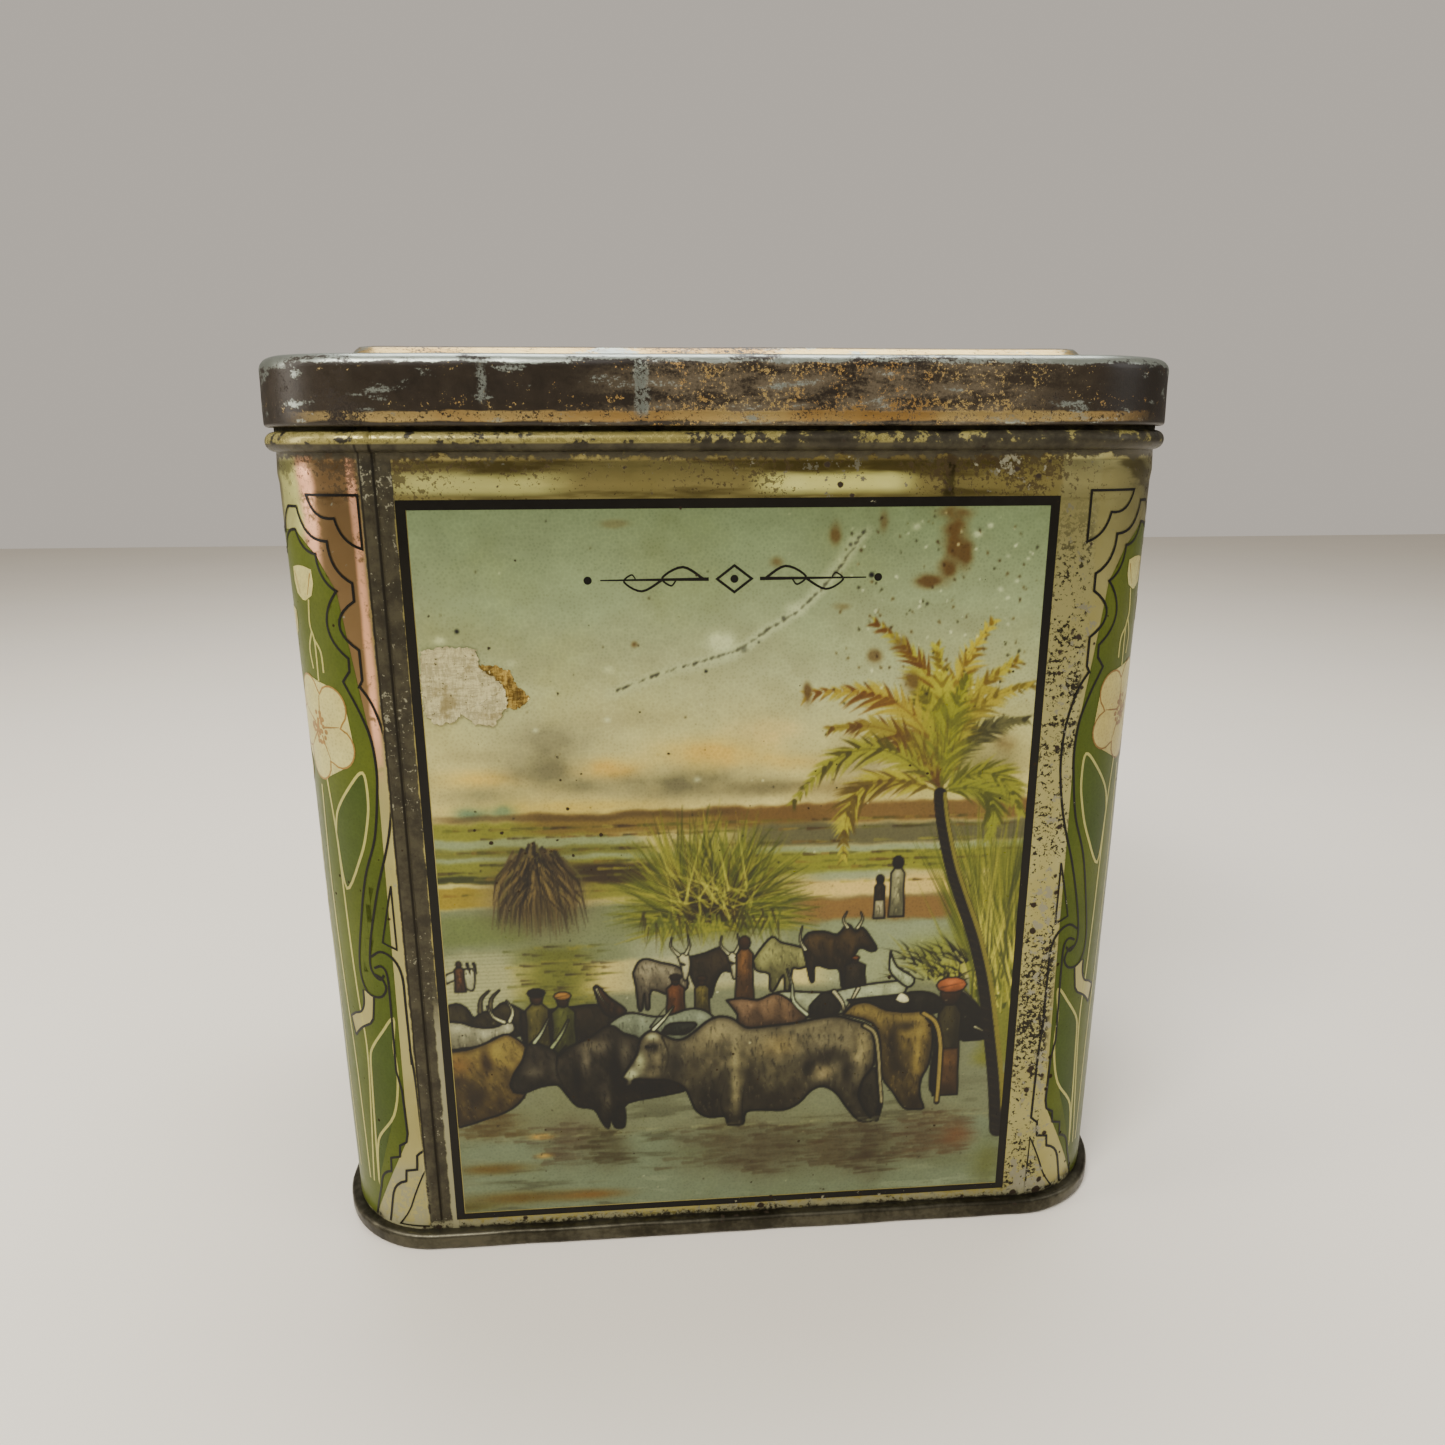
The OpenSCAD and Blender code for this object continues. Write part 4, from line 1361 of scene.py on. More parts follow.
palm = {
    "crown": (43.6, 106.3),
    "trunk": [(43.5, 106), (44.4, 100), (46.8, 90), (49.6, 82), (53.4, 71.5), (56.4, 60),
        (58.8, 46), (60.6, 34), (61.8, 22)],
    # each frond: its tip, how far its rib bows, leaf length, light and dark colours
    "fronds": [
        ((50.5, 126), -0.12, 6, (120, 118, 80), (92, 92, 62)),
        ((60.5, 122), -0.2, 6, (128, 124, 84), (96, 92, 58)),
        ((28.6, 142.5), 0.16, 7.5, (170, 164, 54), (142, 94, 36)),
        ((52.0, 142.5), -0.10, 7.0, (184, 168, 52), (150, 118, 38)),
        ((57.6, 134.5), -0.16, 7.0, (176, 164, 54), (146, 118, 40)),
        ((41.0, 137.5), 0.04, 7.5, (174, 168, 52), (144, 122, 38)),
        ((60.8, 129.5), -0.22, 6.5, (176, 160, 56), (140, 120, 40)),
        ((36.5, 131), 0.08, 8.0, (166, 158, 46), (120, 110, 36)),
        ((15.0, 128.4), 0.26, 7.0, (176, 158, 54), (146, 98, 36)),
        ((20.0, 121.0), 0.22, 6.0, (160, 146, 52), (132, 92, 36)),
        ((47.5, 131), -0.05, 8.0, (160, 158, 42), (116, 116, 34)),
        ((26.5, 116.5), 0.2, 5.5, (160, 136, 50), (126, 78, 36)),
        ((12.4, 105.2), 0.34, 6.0, (160, 158, 50), (112, 104, 36)),
        ((23.2, 92.4), 0.42, 6.5, (172, 164, 50), (128, 104, 34)),
        ((61.2, 101.5), -0.36, 6.5, (158, 156, 48), (110, 112, 36)),
        ((54.8, 96), -0.42, 6.0, (150, 152, 48), (108, 110, 34)),
    ],
}


def paintPalm():
    x0, z0 = palm["crown"]
    chance = random.Random(44)
    for (tipX, tipZ), bow, leaf, light, dark in palm["fronds"]:
        dx, dz = tipX - x0, tipZ - z0
        rib = []
        for i in range(25):
            t = i / 24
            lift = 4 * t * (1 - t) * bow
            rib.append((x0 + dx * t + dz * lift, z0 + dz * t - dx * lift))
        for i in range(2, 25):
            for side in (-1, 1):
                for _ in range(2):
                    t = (i + chance.uniform(-0.5, 0.5)) / 24
                    px, pz = rib[i]
                    ax, az = rib[i][0] - rib[i - 1][0], rib[i][1] - rib[i - 1][1]
                    size = math.hypot(ax, az)
                    ax, az = ax / size, az / size
                    spread = side * math.radians(chance.uniform(22, 46))
                    wx = ax * math.cos(spread) - az * math.sin(spread)
                    wz = ax * math.sin(spread) + az * math.cos(spread)
                    reach = leaf * (0.35 + 0.8 * math.sin(math.pi * min(1,
                        t + 0.12))) * chance.uniform(0.75, 1.1)
                    droop = reach * 0.22
                    points = [(px, pz), (px + wx * reach * 0.5, pz + wz * reach * 0.5 - droop * 0.25),
                        (px + wx * reach, pz + wz * reach - droop)]
                    tone = light if chance.random() < 0.62 else dark
                    brush(points, 1.05, tone, 0.85, 0.15)
        brush(rib, 0.5, dark, 0.7, 0.4)
    puff(x0 - 1, z0 + 12, 8, 11, (146, 148, 42), 0.65, 0.5)
    for i in range(26):
        turn = math.radians(chance.uniform(-38, 34))
        start = chance.uniform(6, 14)
        brush([(x0 + start * math.sin(turn), z0 + start * math.cos(turn)),
            (x0 + (start + 6) * math.sin(turn), z0 + (start + 6) * math.cos(turn))], 0.4, (118, 104, 34),
            0.7)
    trunk = flow(palm["trunk"], 5)
    brush(trunk, 2.8, (56, 44, 32), 1.0, 1.4)
    brush([(x + 1.0 + (106 - z) * 0.006, z) for x, z in trunk], 0.8, (150, 140, 58), 0.95, 1.6)
    for i, (x, z) in enumerate(trunk):
        brush([(x - 1.3, z), (x + 0.4, z - 0.8)], 0.35, (108, 92, 60), 0.8, 0.6)


# short strokes of the pen inside an outline, as fur or folds
def hatch(ring, tone, count, seed, turn):
    area = areaOf(ring, 0.5)
    spots = np.argwhere(insideBy(area, ring) > 0.7)
    chance = random.Random(seed)
    for i in range(count if len(spots) else 0):
        row, column = spots[chance.randrange(len(spots))]
        x, z = gridX[area][row, column], gridZ[area][row, column]
        lean = turn + chance.uniform(-0.4, 0.4)
        reach = 2.2 * chance.uniform(0.4, 1)
        brush([(x, z), (x + reach * math.sin(lean), z - reach * math.cos(lean))], 0.34, tone, 0.5, 0.4)


def toned(colour, share):
    return tuple(min(255, int(part * share)) for part in colour)


outlineInk = (34, 28, 20)


def ringOf(points):
    return flow(points + points[:1], 3)[:-1]


# a shape filled from light to dark, hatched and outlined; shadows are blots kept inside it
def drawn(points, light, dark, count=0, turn=0.2, shadows=(), line=0.5, soft=True):
    ring = ringOf(points) if soft else points
    body(ring, light, dark)
    for x, z, wide, high, tone, strength in shadows:
        puff(x, z, wide, high, tone, strength, 0.35, ring)
    if count:
        hatch(ring, toned(dark, 0.7), count, count, turn)
        hatch(ring, toned(light, 1.15), count // 2, count + 1, turn)
    brush(ring + ring[:1], line, outlineInk, 0.92, 1.0)
    return ring


def horn(points, width, tone=(198, 196, 170)):
    path = flow(points, 3)
    brush(path, width, outlineInk, 0.95, 0.45)
    brush(path, width * 0.52, tone, 0.95, 0.3)


# ten points round an oval
def ovalOf(x, z, wide, high):
    return [(x + wide * math.cos(t), z + high * math.sin(t)) for t in (i * 0.628 for i in range(10))]


def paintFigure(x, z, height, robe, wide, skin=(122, 82, 52), turban=None, skirt=None):
    w = wide * height
    shape = [(x - w, z), (x - 0.85 * w, z + 0.5 * height), (x - 0.9 * w, z + 0.72 * height),
        (x - 0.35 * w, z + 0.82 * height), (x + 0.35 * w, z + 0.82 * height),
        (x + 0.9 * w, z + 0.72 * height), (x + 0.85 * w, z + 0.5 * height), (x + w, z)]
    dark = toned(robe, 0.6)
    folds = [(x + 0.6 * w, z + 0.4 * height, 0.5 * w, 0.4 * height, dark, 0.8)]
    drawn(shape, robe, dark, 10, 0.0, folds, 0.42, False)
    if skirt:
        shape = [(x - w, z), (x - 0.85 * w, z + 0.42 * height), (x + 0.85 * w, z + 0.42 * height),
            (x + w, z)]
        drawn(shape, skirt, toned(skirt, 0.6), 8, 0.0, (), 0.36, False)
    r = 0.085 * height
    drawn(ovalOf(x, z + 0.9 * height, r, 1.25 * r), skin, toned(skin, 0.6), line=0.36, soft=False)
    if turban:
        cap = ovalOf(x, z + 0.97 * height, 1.4 * r, 0.8 * r)
        drawn(cap, turban, toned(turban, 0.7), line=0.36, soft=False)
        brush([(x - r, z + 0.95 * height), (x + r, z + 0.985 * height)], 0.3, (60, 40, 26), 0.7, 0.6)


ink = (40, 34, 26)
bluish, greyCoat, greyShade = (150, 158, 146), (140, 130, 108), (60, 53, 43)
blackCoat, blackShade = (92, 82, 72), (40, 35, 30)
# outlines of the animals, as (across, height), those furthest away first
farGrey = [(-22.4, 66.6), (-21.2, 69.2), (-19.4, 70), (-16.4, 69), (-13, 68), (-11, 66), (-10.6, 62.6),
    (-14, 60.8), (-18.4, 62.4), (-19, 58), (-19.8, 58), (-20, 61.6), (-20.6, 57.8), (-21.4, 58),
    (-21.8, 63)]
farDark = [(-10, 70), (-6.6, 70.8), (-3.4, 72), (-2, 70.8), (0.2, 67.2), (0.8, 66.2), (-0.6, 65.8),
    (-2.8, 66.2), (-4.4, 63.6), (-5.4, 60), (-7, 60.4), (-8.4, 62), (-9.8, 65.4)]
farOlive = [(3.8, 68.6), (5.6, 71.4), (8, 74), (10, 72.6), (13.4, 71.6), (15.6, 70.4), (16.2, 67),
    (14, 66), (12.6, 66), (12, 61), (11, 61), (10.6, 64.6), (8.6, 61), (7.6, 61.4), (7.4, 65), (4.6, 66)]
farBrown = [(14.6, 72.4), (16, 74.6), (19.6, 74.8), (22.4, 74), (24.6, 76.4), (26.4, 74.6), (28, 75.4),
    (30.4, 72), (31.2, 70.2), (30, 69.6), (27.6, 70.6), (26.4, 69), (25.4, 66.2), (24.6, 61.6),
    (23.6, 61.4), (23, 65.4), (20.6, 65.8), (17.6, 66.6), (17.4, 63), (16.6, 63), (15.6, 67.6)]
darkBehind = [(-47, 58.4), (-40, 58.8), (-33, 59.4), (-29.6, 59.2), (-24.4, 57.2), (-25, 54), (-30, 51),
    (-36, 49.4), (-46, 49.6)]
earBehind = [(-31, 63.6), (-30, 64), (-27.8, 61.2), (-24.4, 58.2), (-24.6, 56.8), (-27, 56), (-29.4, 58)]
blueBehind = [(-28, 54.6), (-25.4, 56.4), (-22.6, 57), (-18, 55.8), (-14, 56.2), (-11, 57.2), (-8, 57.2),
    (-5.6, 55.8), (-4, 53), (-8, 50), (-20, 50), (-26, 52)]
rosyBehind = [(-2, 59), (1.4, 59.4), (5, 58.8), (8.6, 60.2), (11.6, 58.8), (14, 56.4), (16, 54),
    (13, 52.4), (1.6, 52), (0.4, 55.4)]
darkRight = [(25, 57.8), (30, 58.2), (36, 58.6), (41, 59.2), (45, 58.2), (47.6, 55), (45, 53.6),
    (39, 53.6), (33, 54.4), (28, 55.6)]
darkFarRight = [(49, 59.8), (52.4, 57.8), (55.6, 54), (57.6, 50), (58, 46.8), (54.4, 46.2), (51.4, 46.6),
    (50.2, 52), (48.4, 56)]
leftDark = [(-64, 60), (-60.6, 61.2), (-58.4, 60), (-57, 57.6), (-55.4, 58.8), (-52.6, 59.4), (-50.4, 61),
    (-47, 59.2), (-45.6, 57.4), (-46, 53), (-56, 53), (-64, 55)]
leftWhite = [(-64, 57), (-60, 56.6), (-57.6, 55.6), (-54.4, 55), (-51.8, 55.4), (-50.2, 56.6), (-48.8, 56),
    (-48.4, 54.2), (-50, 53), (-53, 52.4), (-55.4, 50.8), (-60, 50.2), (-64, 50.4)]
leftGold = [(-64, 49.6), (-59.4, 49.8), (-55, 51.2), (-50.8, 53.2), (-48.4, 52.2), (-46.2, 49.6),
    (-46.6, 46.4), (-49.4, 42.4), (-49.6, 38.6), (-47, 38), (-50, 34.4), (-56, 32), (-64, 31.4)]
blackCow = [(-50.2, 40.4), (-49.2, 43.2), (-47.2, 46.4), (-46.2, 49.6), (-44.4, 51), (-42.6, 50),
    (-40.4, 48.8), (-39, 47.4), (-37.6, 48.8), (-34.6, 50.4), (-31.4, 52), (-28.8, 53.9), (-26.8, 53.8),
    (-24.8, 52), (-21.2, 50.2), (-20, 44), (-15, 40), (-11, 37), (-16, 35.7), (-24.4, 34.2), (-25, 31),
    (-25.4, 28), (-27.4, 28), (-28.2, 30.4), (-29, 27.8), (-30.4, 29.8), (-32, 33), (-35.6, 34),
    (-37.6, 36.6), (-39.4, 39.4), (-41, 39.9), (-44, 39.4), (-47.6, 38.1), (-49.6, 39)]
greyCow = [(-25.6, 40.9), (-24.4, 42.8), (-22.2, 46.4), (-21.2, 50.2), (-19.6, 52), (-18, 52.4),
    (-16.2, 51.2), (-13.6, 49.8), (-11.4, 50), (-8.8, 51.9), (-6.4, 54), (-3.8, 55.1), (-1, 54.6),
    (1.2, 52.9), (3, 51.9), (8, 52.2), (13, 52.6), (18, 53.5), (22.6, 53.9), (26.8, 52.6), (30.4, 51),
    (31.6, 48), (31.8, 43), (31.2, 40), (29.4, 37.4), (28.4, 34), (28.6, 32), (30, 29), (31.4, 26.4),
    (28.6, 26.4), (25.6, 30.2), (23.6, 33.4), (21.6, 35.3), (19.4, 36), (17, 34.8), (14.6, 32), (11, 30.3),
    (6, 30.6), (2.4, 30.2), (1.7, 27), (-1.6, 27), (-2.4, 29.3), (-6, 29.3), (-8.8, 31), (-10.1, 34),
    (-11.2, 36.8), (-13, 38.5), (-15.6, 39.6), (-19, 39.9), (-22.6, 40.1), (-23.4, 38.7), (-25, 38.6),
    (-24.6, 39.8)]
rightCow = [(24.2, 54.2), (26.4, 56.6), (30, 57), (34, 54.9), (39, 54.2), (42.6, 54.2), (44.4, 51),
    (45, 46), (44.4, 40.4), (42.8, 36.4), (42.8, 32), (43.8, 28.8), (41.4, 28.6), (39, 29.2), (36.4, 33.4),
    (33.6, 38), (33, 46), (31, 51.6)]


def paintHerd():
    drawn([(-62.4, 66), (-60, 66.8), (-58.4, 65), (-56.8, 64.2), (-56.2, 66.6), (-56.6, 69.4), (-60, 69),
        (-62.4, 68)], (190, 188, 164), (150, 148, 126), line=0.4)
    paintFigure(-59.4, 64, 7.2, (150, 100, 62), wide=0.16)
    for x in (-57.6, -56.2):
        brush([(x, 70.6), (x + 0.5, 68.2)], 0.8, ink, 0.9, 0.4)
    drawn(farGrey, (160, 150, 134), (78, 68, 58), 26)
    drawn(farDark, (94, 78, 58), (48, 40, 32), 24)
    drawn(farOlive, (164, 162, 112), (100, 98, 66), 24)
    drawn(farBrown, (112, 88, 54), (44, 36, 28), 34)
    for x, z in ((-11.4, 68.6), (-0.6, 68.4)):  # white faces
        drawn([(x - 1.4, z + 2), (x + 1, z + 2.2), (x + 1.5, z - 0.6), (x + 0.8, z - 3.8), (x, z - 4),
            (x - 0.6, z - 0.6)], (196, 192, 166), (150, 144, 122), line=0.4)
        brush([(x - 0.4, z - 0.2), (x + 0.2, z - 0.4)], 0.7, ink, 0.9, 0.8)
        horn([(x - 1, z + 2), (x - 2.6, z + 4), (x - 2.4, z + 6.2)], 1.0)
        horn([(x + 0.6, z + 2.2), (x + 1.4, z + 4.2), (x + 1, z + 6.6)], 1.0)
    horn([(15.4, 70.6), (14.2, 73), (14.6, 76.2)], 1.0)
    horn([(24.6, 75.6), (23.6, 77.4), (24.4, 79.4)], 1.0)
    horn([(26.8, 75.4), (27.8, 77.4), (27.4, 79.2)], 1.0)
    paintFigure(2, 59, 15.4, (160, 112, 66), wide=0.135)
    paintFigure(26.6, 61, 7.4, (96, 82, 66), turban=(214, 128, 54), wide=0.34)
    paintFigure(-13.2, 54.6, 11, (158, 98, 54), turban=(92, 62, 40), wide=0.2)
    paintFigure(-7.4, 55, 10, (146, 132, 66), turban=(110, 76, 46), wide=0.18)
    drawn([(5, 58.4), (10, 60.6), (20, 60), (30, 61.6), (38, 61.8), (37, 58), (30, 55), (8, 54)],
        (174, 180, 164), (132, 136, 120), 14)
    drawn(rosyBehind, (160, 128, 104), (90, 66, 50), 22)
    drawn([(16.6, 56.6), (18, 58.4), (20, 60), (22.6, 58.6), (23.4, 55.4), (21, 53.8), (17, 54)],
        (84, 78, 70), (44, 40, 36), 14)
    horn([(16, 54.6), (13, 58), (12.6, 62), (11.4, 66)], 1.3, (186, 194, 176))
    horn([(22, 60), (24, 57), (24.4, 54.2)], 1.5, (190, 184, 160))
    horn([(27.4, 60.6), (26, 57.6), (24.6, 55)], 1.2, (190, 184, 160))
    drawn([(34.4, 69.4), (36, 65.6), (40, 62.6), (38.6, 60.4), (35, 63.6), (34.2, 66)], (186, 194, 178),
        (150, 158, 142), 8)
    drawn(darkRight, (76, 70, 62), (38, 34, 30), 30)
    drawn([(36, 57.4), (37, 59), (38.6, 58.2), (39, 56.8), (37.4, 56.6)], (220, 216, 200), (190, 186, 168),
        line=0.2)
    drawn(darkFarRight, (66, 60, 52), (34, 30, 26), 30, 0.7)
    horn([(49.4, 60.2), (52, 58.4), (54.6, 55.4)], 0.9)
    horn([(54.6, 49.6), (56.6, 48.4), (58.2, 46.4)], 0.9)
    drawn(leftDark, (98, 88, 58), (50, 44, 32), 30)
    for lean in (0, 2.2):
        horn([(-55.6 + lean, 59), (-55.2 + lean, 62), (-53.4 + lean, 64)], 1.3, (120, 112, 84))
    drawn(leftWhite, (176, 174, 158), (124, 120, 106), 16)
    horn([(-50.6, 56.2), (-52.8, 57.6), (-54, 60.2)], 1.3)
    horn([(-49.4, 56.4), (-48.6, 58.8), (-49.8, 61.4)], 1.3)
    drawn(darkBehind, (84, 70, 54), (44, 36, 28), 60)
    drawn(earBehind, (146, 98, 54), (60, 44, 32), 8)
    horn([(-30.4, 63.2), (-29.2, 60.6), (-27.6, 58.6)], 0.8)
    paintFigure(-43.4, 47, 16.4, (130, 122, 62), turban=(58, 50, 36), wide=0.17)
    paintFigure(-37.8, 46.6, 15.8, (120, 126, 62), turban=(206, 150, 76), wide=0.18)
    drawn(blueBehind, bluish, (108, 114, 102), 26)
    drawn(leftGold, (152, 132, 74), (86, 66, 42), 60, 0.5, [(-62, 46, 4, 3, (160, 118, 62), 0.8),
        (-55, 46.6, 1.4, 3.6, (74, 48, 30), 0.8), (-58, 38, 3, 3, (74, 56, 34), 0.8),
        (-62, 42, 3, 2, (76, 52, 32), 0.6), (-52.4, 48.6, 3, 3, (172, 154, 82), 0.6)])
    paintFigure(48.6, 32, 29.4, (104, 94, 60), turban=(216, 126, 72), skirt=(140, 100, 62), wide=0.10)
    drawn(rightCow, (152, 132, 76), (78, 62, 40), 70, 0.1, [(35.6, 46, 1.8, 6, (62, 48, 34), 0.9),
        (37, 40, 2.4, 4, (66, 52, 34), 0.7), (38.6, 50.6, 3, 1.4, (66, 52, 34), 0.6),
        (41.6, 44, 1.6, 9, (172, 150, 84), 0.8)])
    drawn([(43, 52.4), (44.6, 50), (45.4, 45), (44.8, 39), (45, 33.4), (47, 33), (47, 42), (46.2, 48),
        (44.6, 52)], (62, 52, 38), (44, 36, 28), line=0.3)
    brush(flow([(42.4, 53.8), (45.4, 51.4), (46.8, 46), (47, 38), (46.8, 30.2)], 4), 1.5, ink, 0.9, 0.9)
    brush(flow([(42.6, 53.6), (45.4, 51.2), (46.8, 46), (47, 38), (46.8, 30.6)], 4), 0.9, (170, 148, 84),
        0.95, 0.9)
    drawn(blackCow, blackCoat, blackShade, 170, 0.35, [(-27, 44, 1.8, 8, (30, 26, 24), 0.9),
        (-33.4, 46, 1.4, 5, (146, 136, 122), 0.75), (-31, 49, 4, 2, (144, 134, 120), 0.7),
        (-24.6, 47, 1.6, 3.4, (136, 128, 114), 0.7), (-35.4, 41, 1.2, 5, (32, 28, 24), 0.8),
        (-29, 36, 1.2, 5, (128, 118, 104), 0.7), (-45, 43.4, 2.4, 2.4, (132, 122, 110), 0.7),
        (-40.4, 45, 1.4, 3, (120, 112, 100), 0.6), (-20, 38, 7, 2, (34, 30, 26), 0.9)])
    brush(flow([(-39.6, 47), (-39.8, 43), (-38.6, 39.6)], 4), 0.5, (24, 20, 16), 0.8, 0.5)
    horn([(-44.4, 50.8), (-42.8, 53), (-41, 56.6)], 1.4, (176, 184, 160))
    horn([(-40.6, 49.4), (-38.4, 52.6), (-36.8, 56)], 1.4, (160, 170, 140))
    brush([(-39.2, 47.4), (-37.6, 49.6)], 0.8, ink, 0.9, 0.6)
    drawn([(29.4, 38.4), (32, 40), (33.2, 33), (33.4, 29), (31.4, 26), (29.4, 30), (28.6, 33)],
        (90, 82, 68), (50, 44, 36), 14)
    shadows = [(-6, 34, 3.6, 5, (60, 52, 44), 0.9), (-9.4, 42, 2.4, 5, (96, 86, 68), 0.6),
        (-13.4, 44, 2.2, 5, (70, 64, 56), 0.8), (4, 36, 2.2, 5.4, (74, 64, 52), 0.85),
        (9, 33, 6, 2.4, (74, 62, 52), 0.8), (14, 36, 2.4, 4, (92, 80, 64), 0.6),
        (16.6, 41.6, 1.6, 3, (52, 44, 38), 0.8), (21, 44, 3.6, 2, (66, 56, 46), 0.85),
        (25.4, 39.4, 1.6, 4.4, (72, 62, 50), 0.8), (20, 39.6, 2.4, 2, (176, 158, 122), 0.7),
        (10, 47, 4.4, 3.2, (184, 160, 106), 0.6), (0, 40, 1.3, 11, (172, 162, 130), 0.8),
        (28.6, 45, 2, 6, (182, 168, 132), 0.7), (-4, 51, 3.4, 2.6, (176, 164, 130), 0.6),
        (-23.4, 41.6, 2.4, 2, (200, 206, 180), 0.95), (-21.4, 45, 1.4, 2.6, (184, 190, 160), 0.9),
        (-18.6, 50.8, 1.6, 1, (176, 180, 150), 0.8), (-18.6, 48, 1.8, 1.4, (54, 48, 42), 0.9)]
    drawn(greyCow, greyCoat, greyShade, 230, 0.15, shadows, 0.55)
    brush(flow([(-2.6, 29.6), (-3.4, 33), (-2.4, 38)], 4), 0.45, ink, 0.8, 0.4)
    brush(flow([(1.7, 27.4), (1.6, 33), (2.2, 38)], 4), 0.5, ink, 0.8, 0.3)
    brush(flow([(-16.4, 50.6), (-15, 46), (-16, 41)], 4), 0.5, ink, 0.6, 0.4)
    horn([(-18.2, 52.6), (-15.8, 55.2), (-13.8, 58)], 1.4, (196, 200, 176))
    brush(flow([(-19, 53.2), (-17, 56), (-14.8, 58.8)], 3), 0.45, ink, 0.9, 0.4)
    drawn([(-16.4, 51.6), (-14.6, 53.8), (-9, 53.8), (-9.6, 52.2), (-12, 51)], (84, 92, 84), (40, 44, 40),
        8)
    brush(flow([(29, 51.2), (31.4, 49.2), (32.4, 44), (33, 37), (33.6, 31), (32.8, 26.4)], 5), 1.5, ink,
        0.95, 0.8)
    brush(flow([(29.2, 51.2), (31.6, 49), (32.6, 44), (33.2, 37), (33.8, 31)], 5), 0.7, (164, 154, 122),
        0.95, 0.8)
    brush([(-19.9, 48.3), (-19.1, 48.2)], 0.7, (20, 16, 12), 0.9, 0.8)
    # figures on the sand
    paintFigure(31.4, 77.6, 10.2, (96, 74, 50), skin=(70, 50, 38), wide=0.12, skirt=(196, 186, 160))
    paintFigure(35.2, 77.8, 14.2, (188, 182, 150), skin=(70, 50, 38), wide=0.12)
    # water over the hooves
    chance = random.Random(77)
    for i in range(110):
        x, z = chance.uniform(-60, 60), chance.gauss(26.6, 0.6)
        tone = chance.choice(((148, 150, 122), (120, 112, 88), (136, 138, 112)))
        brush([(x - 1.6, z), (x + 1.6, z + 0.1)], 0.6, tone, 0.45)


# stains, scuffs and the long scratch that only the front has
def paintMarks():
    for x, z, wide, high, strength in [(43.4, 160.5, 2.2, 4.6, 1.2), (42.2, 153, 1.8, 2.4, 1.2),
            (39.4, 151.2, 3.2, 1.3, 1.1), (45.6, 156.6, 1.5, 3.2, 1.0), (42.4, 164.6, 3.4, 1.2, 0.9),
            (19.4, 160.8, 1.2, 2.4, 0.8), (29, 163, 0.9, 2.2, 0.8), (33, 139.2, 2.0, 1.6, 0.7),
            (28.4, 136, 1.4, 1.6, 0.7), (14.6, 128, 0.9, 2.4, 0.9), (21, 146.4, 1.6, 0.7, 0.8),
            (8, 155.2, 1.4, 1.0, 0.9), (36, 130.6, 1.6, 2.4, 0.8), (31.5, 108.4, 2.2, 1.6, 0.7),
            (-20.2, 139.4, 0.7, 0.7, 0.9), (57, 117, 2.6, 2.2, 0.4), (-24, 163, 3.4, 0.8, 0.3)]:
        puff(x, z, wide, high, (132, 102, 60), strength, 1.3)
    for x, z, size in [(1.6, 138, 2.6), (9.6, 144.2, 1.6), (-2.4, 137, 1.0), (27, 152.6, 1.6),
            (-54.6, 142.6, 1.6), (-6, 133.6, 1.2), (22.6, 158.6, 1.4), (4.6, 139.4, 1.2)]:
        puff(x, z, 0.28 * size, 0.26 * size, (48, 46, 52), 2.0, 1.0)
    for x, z, size in [(-25.5, 134.5, 2.2), (-26, 124, 1.4), (-40.5, 122.2, 1.2), (-3, 139.5, 5),
            (12, 146, 3.5), (48, 160.4, 1.8), (54.5, 156, 0.9), (56.6, 151, 0.9), (53.4, 149.4, 1.1),
            (55, 147.6, 0.8), (58.6, 155.4, 0.8), (-8, 110.6, 1.6), (-44, 136, 2.4), (35.6, 162, 1.6),
            (50.4, 162, 1.2), (-58, 141, 2.2)]:
        puff(x, z, 0.6 * size, 0.45 * size, (196, 200, 178), 0.6, 1.0)
    scratch = flow([(-24, 130), (-14, 133.6), (-4, 136.4), (1.4, 138.4), (6, 141.6), (12, 145.4),
        (17, 150), (21, 155), (25, 161)], 12)
    chance = random.Random(12)
    for i, (x, z) in enumerate(scratch):
        brush([(x - 1.5, z - 1.0), (x + 1.5, z + 0.8)], 2.6, (178, 184, 162), 0.10, 0.5, 1.2)
        if chance.random() < 0.75:
            x += chance.uniform(-0.3, 0.3)
            brush([(x, z), (x + 0.6, z + 0.4)], chance.uniform(0.25, 0.7), (62, 58, 54), 0.8, 0.6)
    for i in range(150):
        x, z = chance.uniform(20, 61), chance.uniform(126, 165)
        tone = chance.choice(((98, 70, 40), (74, 66, 44), (198, 200, 180), (120, 92, 52)))
        brush([(x, z), (x + chance.uniform(-0.6, 0.6), z + chance.uniform(-0.8, 0.8))],
            chance.uniform(0.3, 0.65), tone, 0.7)
    for i in range(120):
        x, z = chance.uniform(-62, 62), chance.uniform(8, 165)
        tone = chance.choice(((88, 66, 42), (64, 58, 44), (206, 204, 184)))
        brush([(x, z), (x + chance.uniform(-0.4, 0.4), z + chance.uniform(-0.4, 0.4))],
            chance.uniform(0.25, 0.5), tone, 0.7)


paintSkyAndLand()
paintWater()
paintBushes()
paintHerd()
paintPalm()
cleanCanvas = canvas.copy()
paintMarks()
print("picture painted")

pictureInk = inkMaterial("pictureInk", tint(150, 160, 130), stipple=0.17, rough=0.3, chips=0.84,
    attribute="painted")


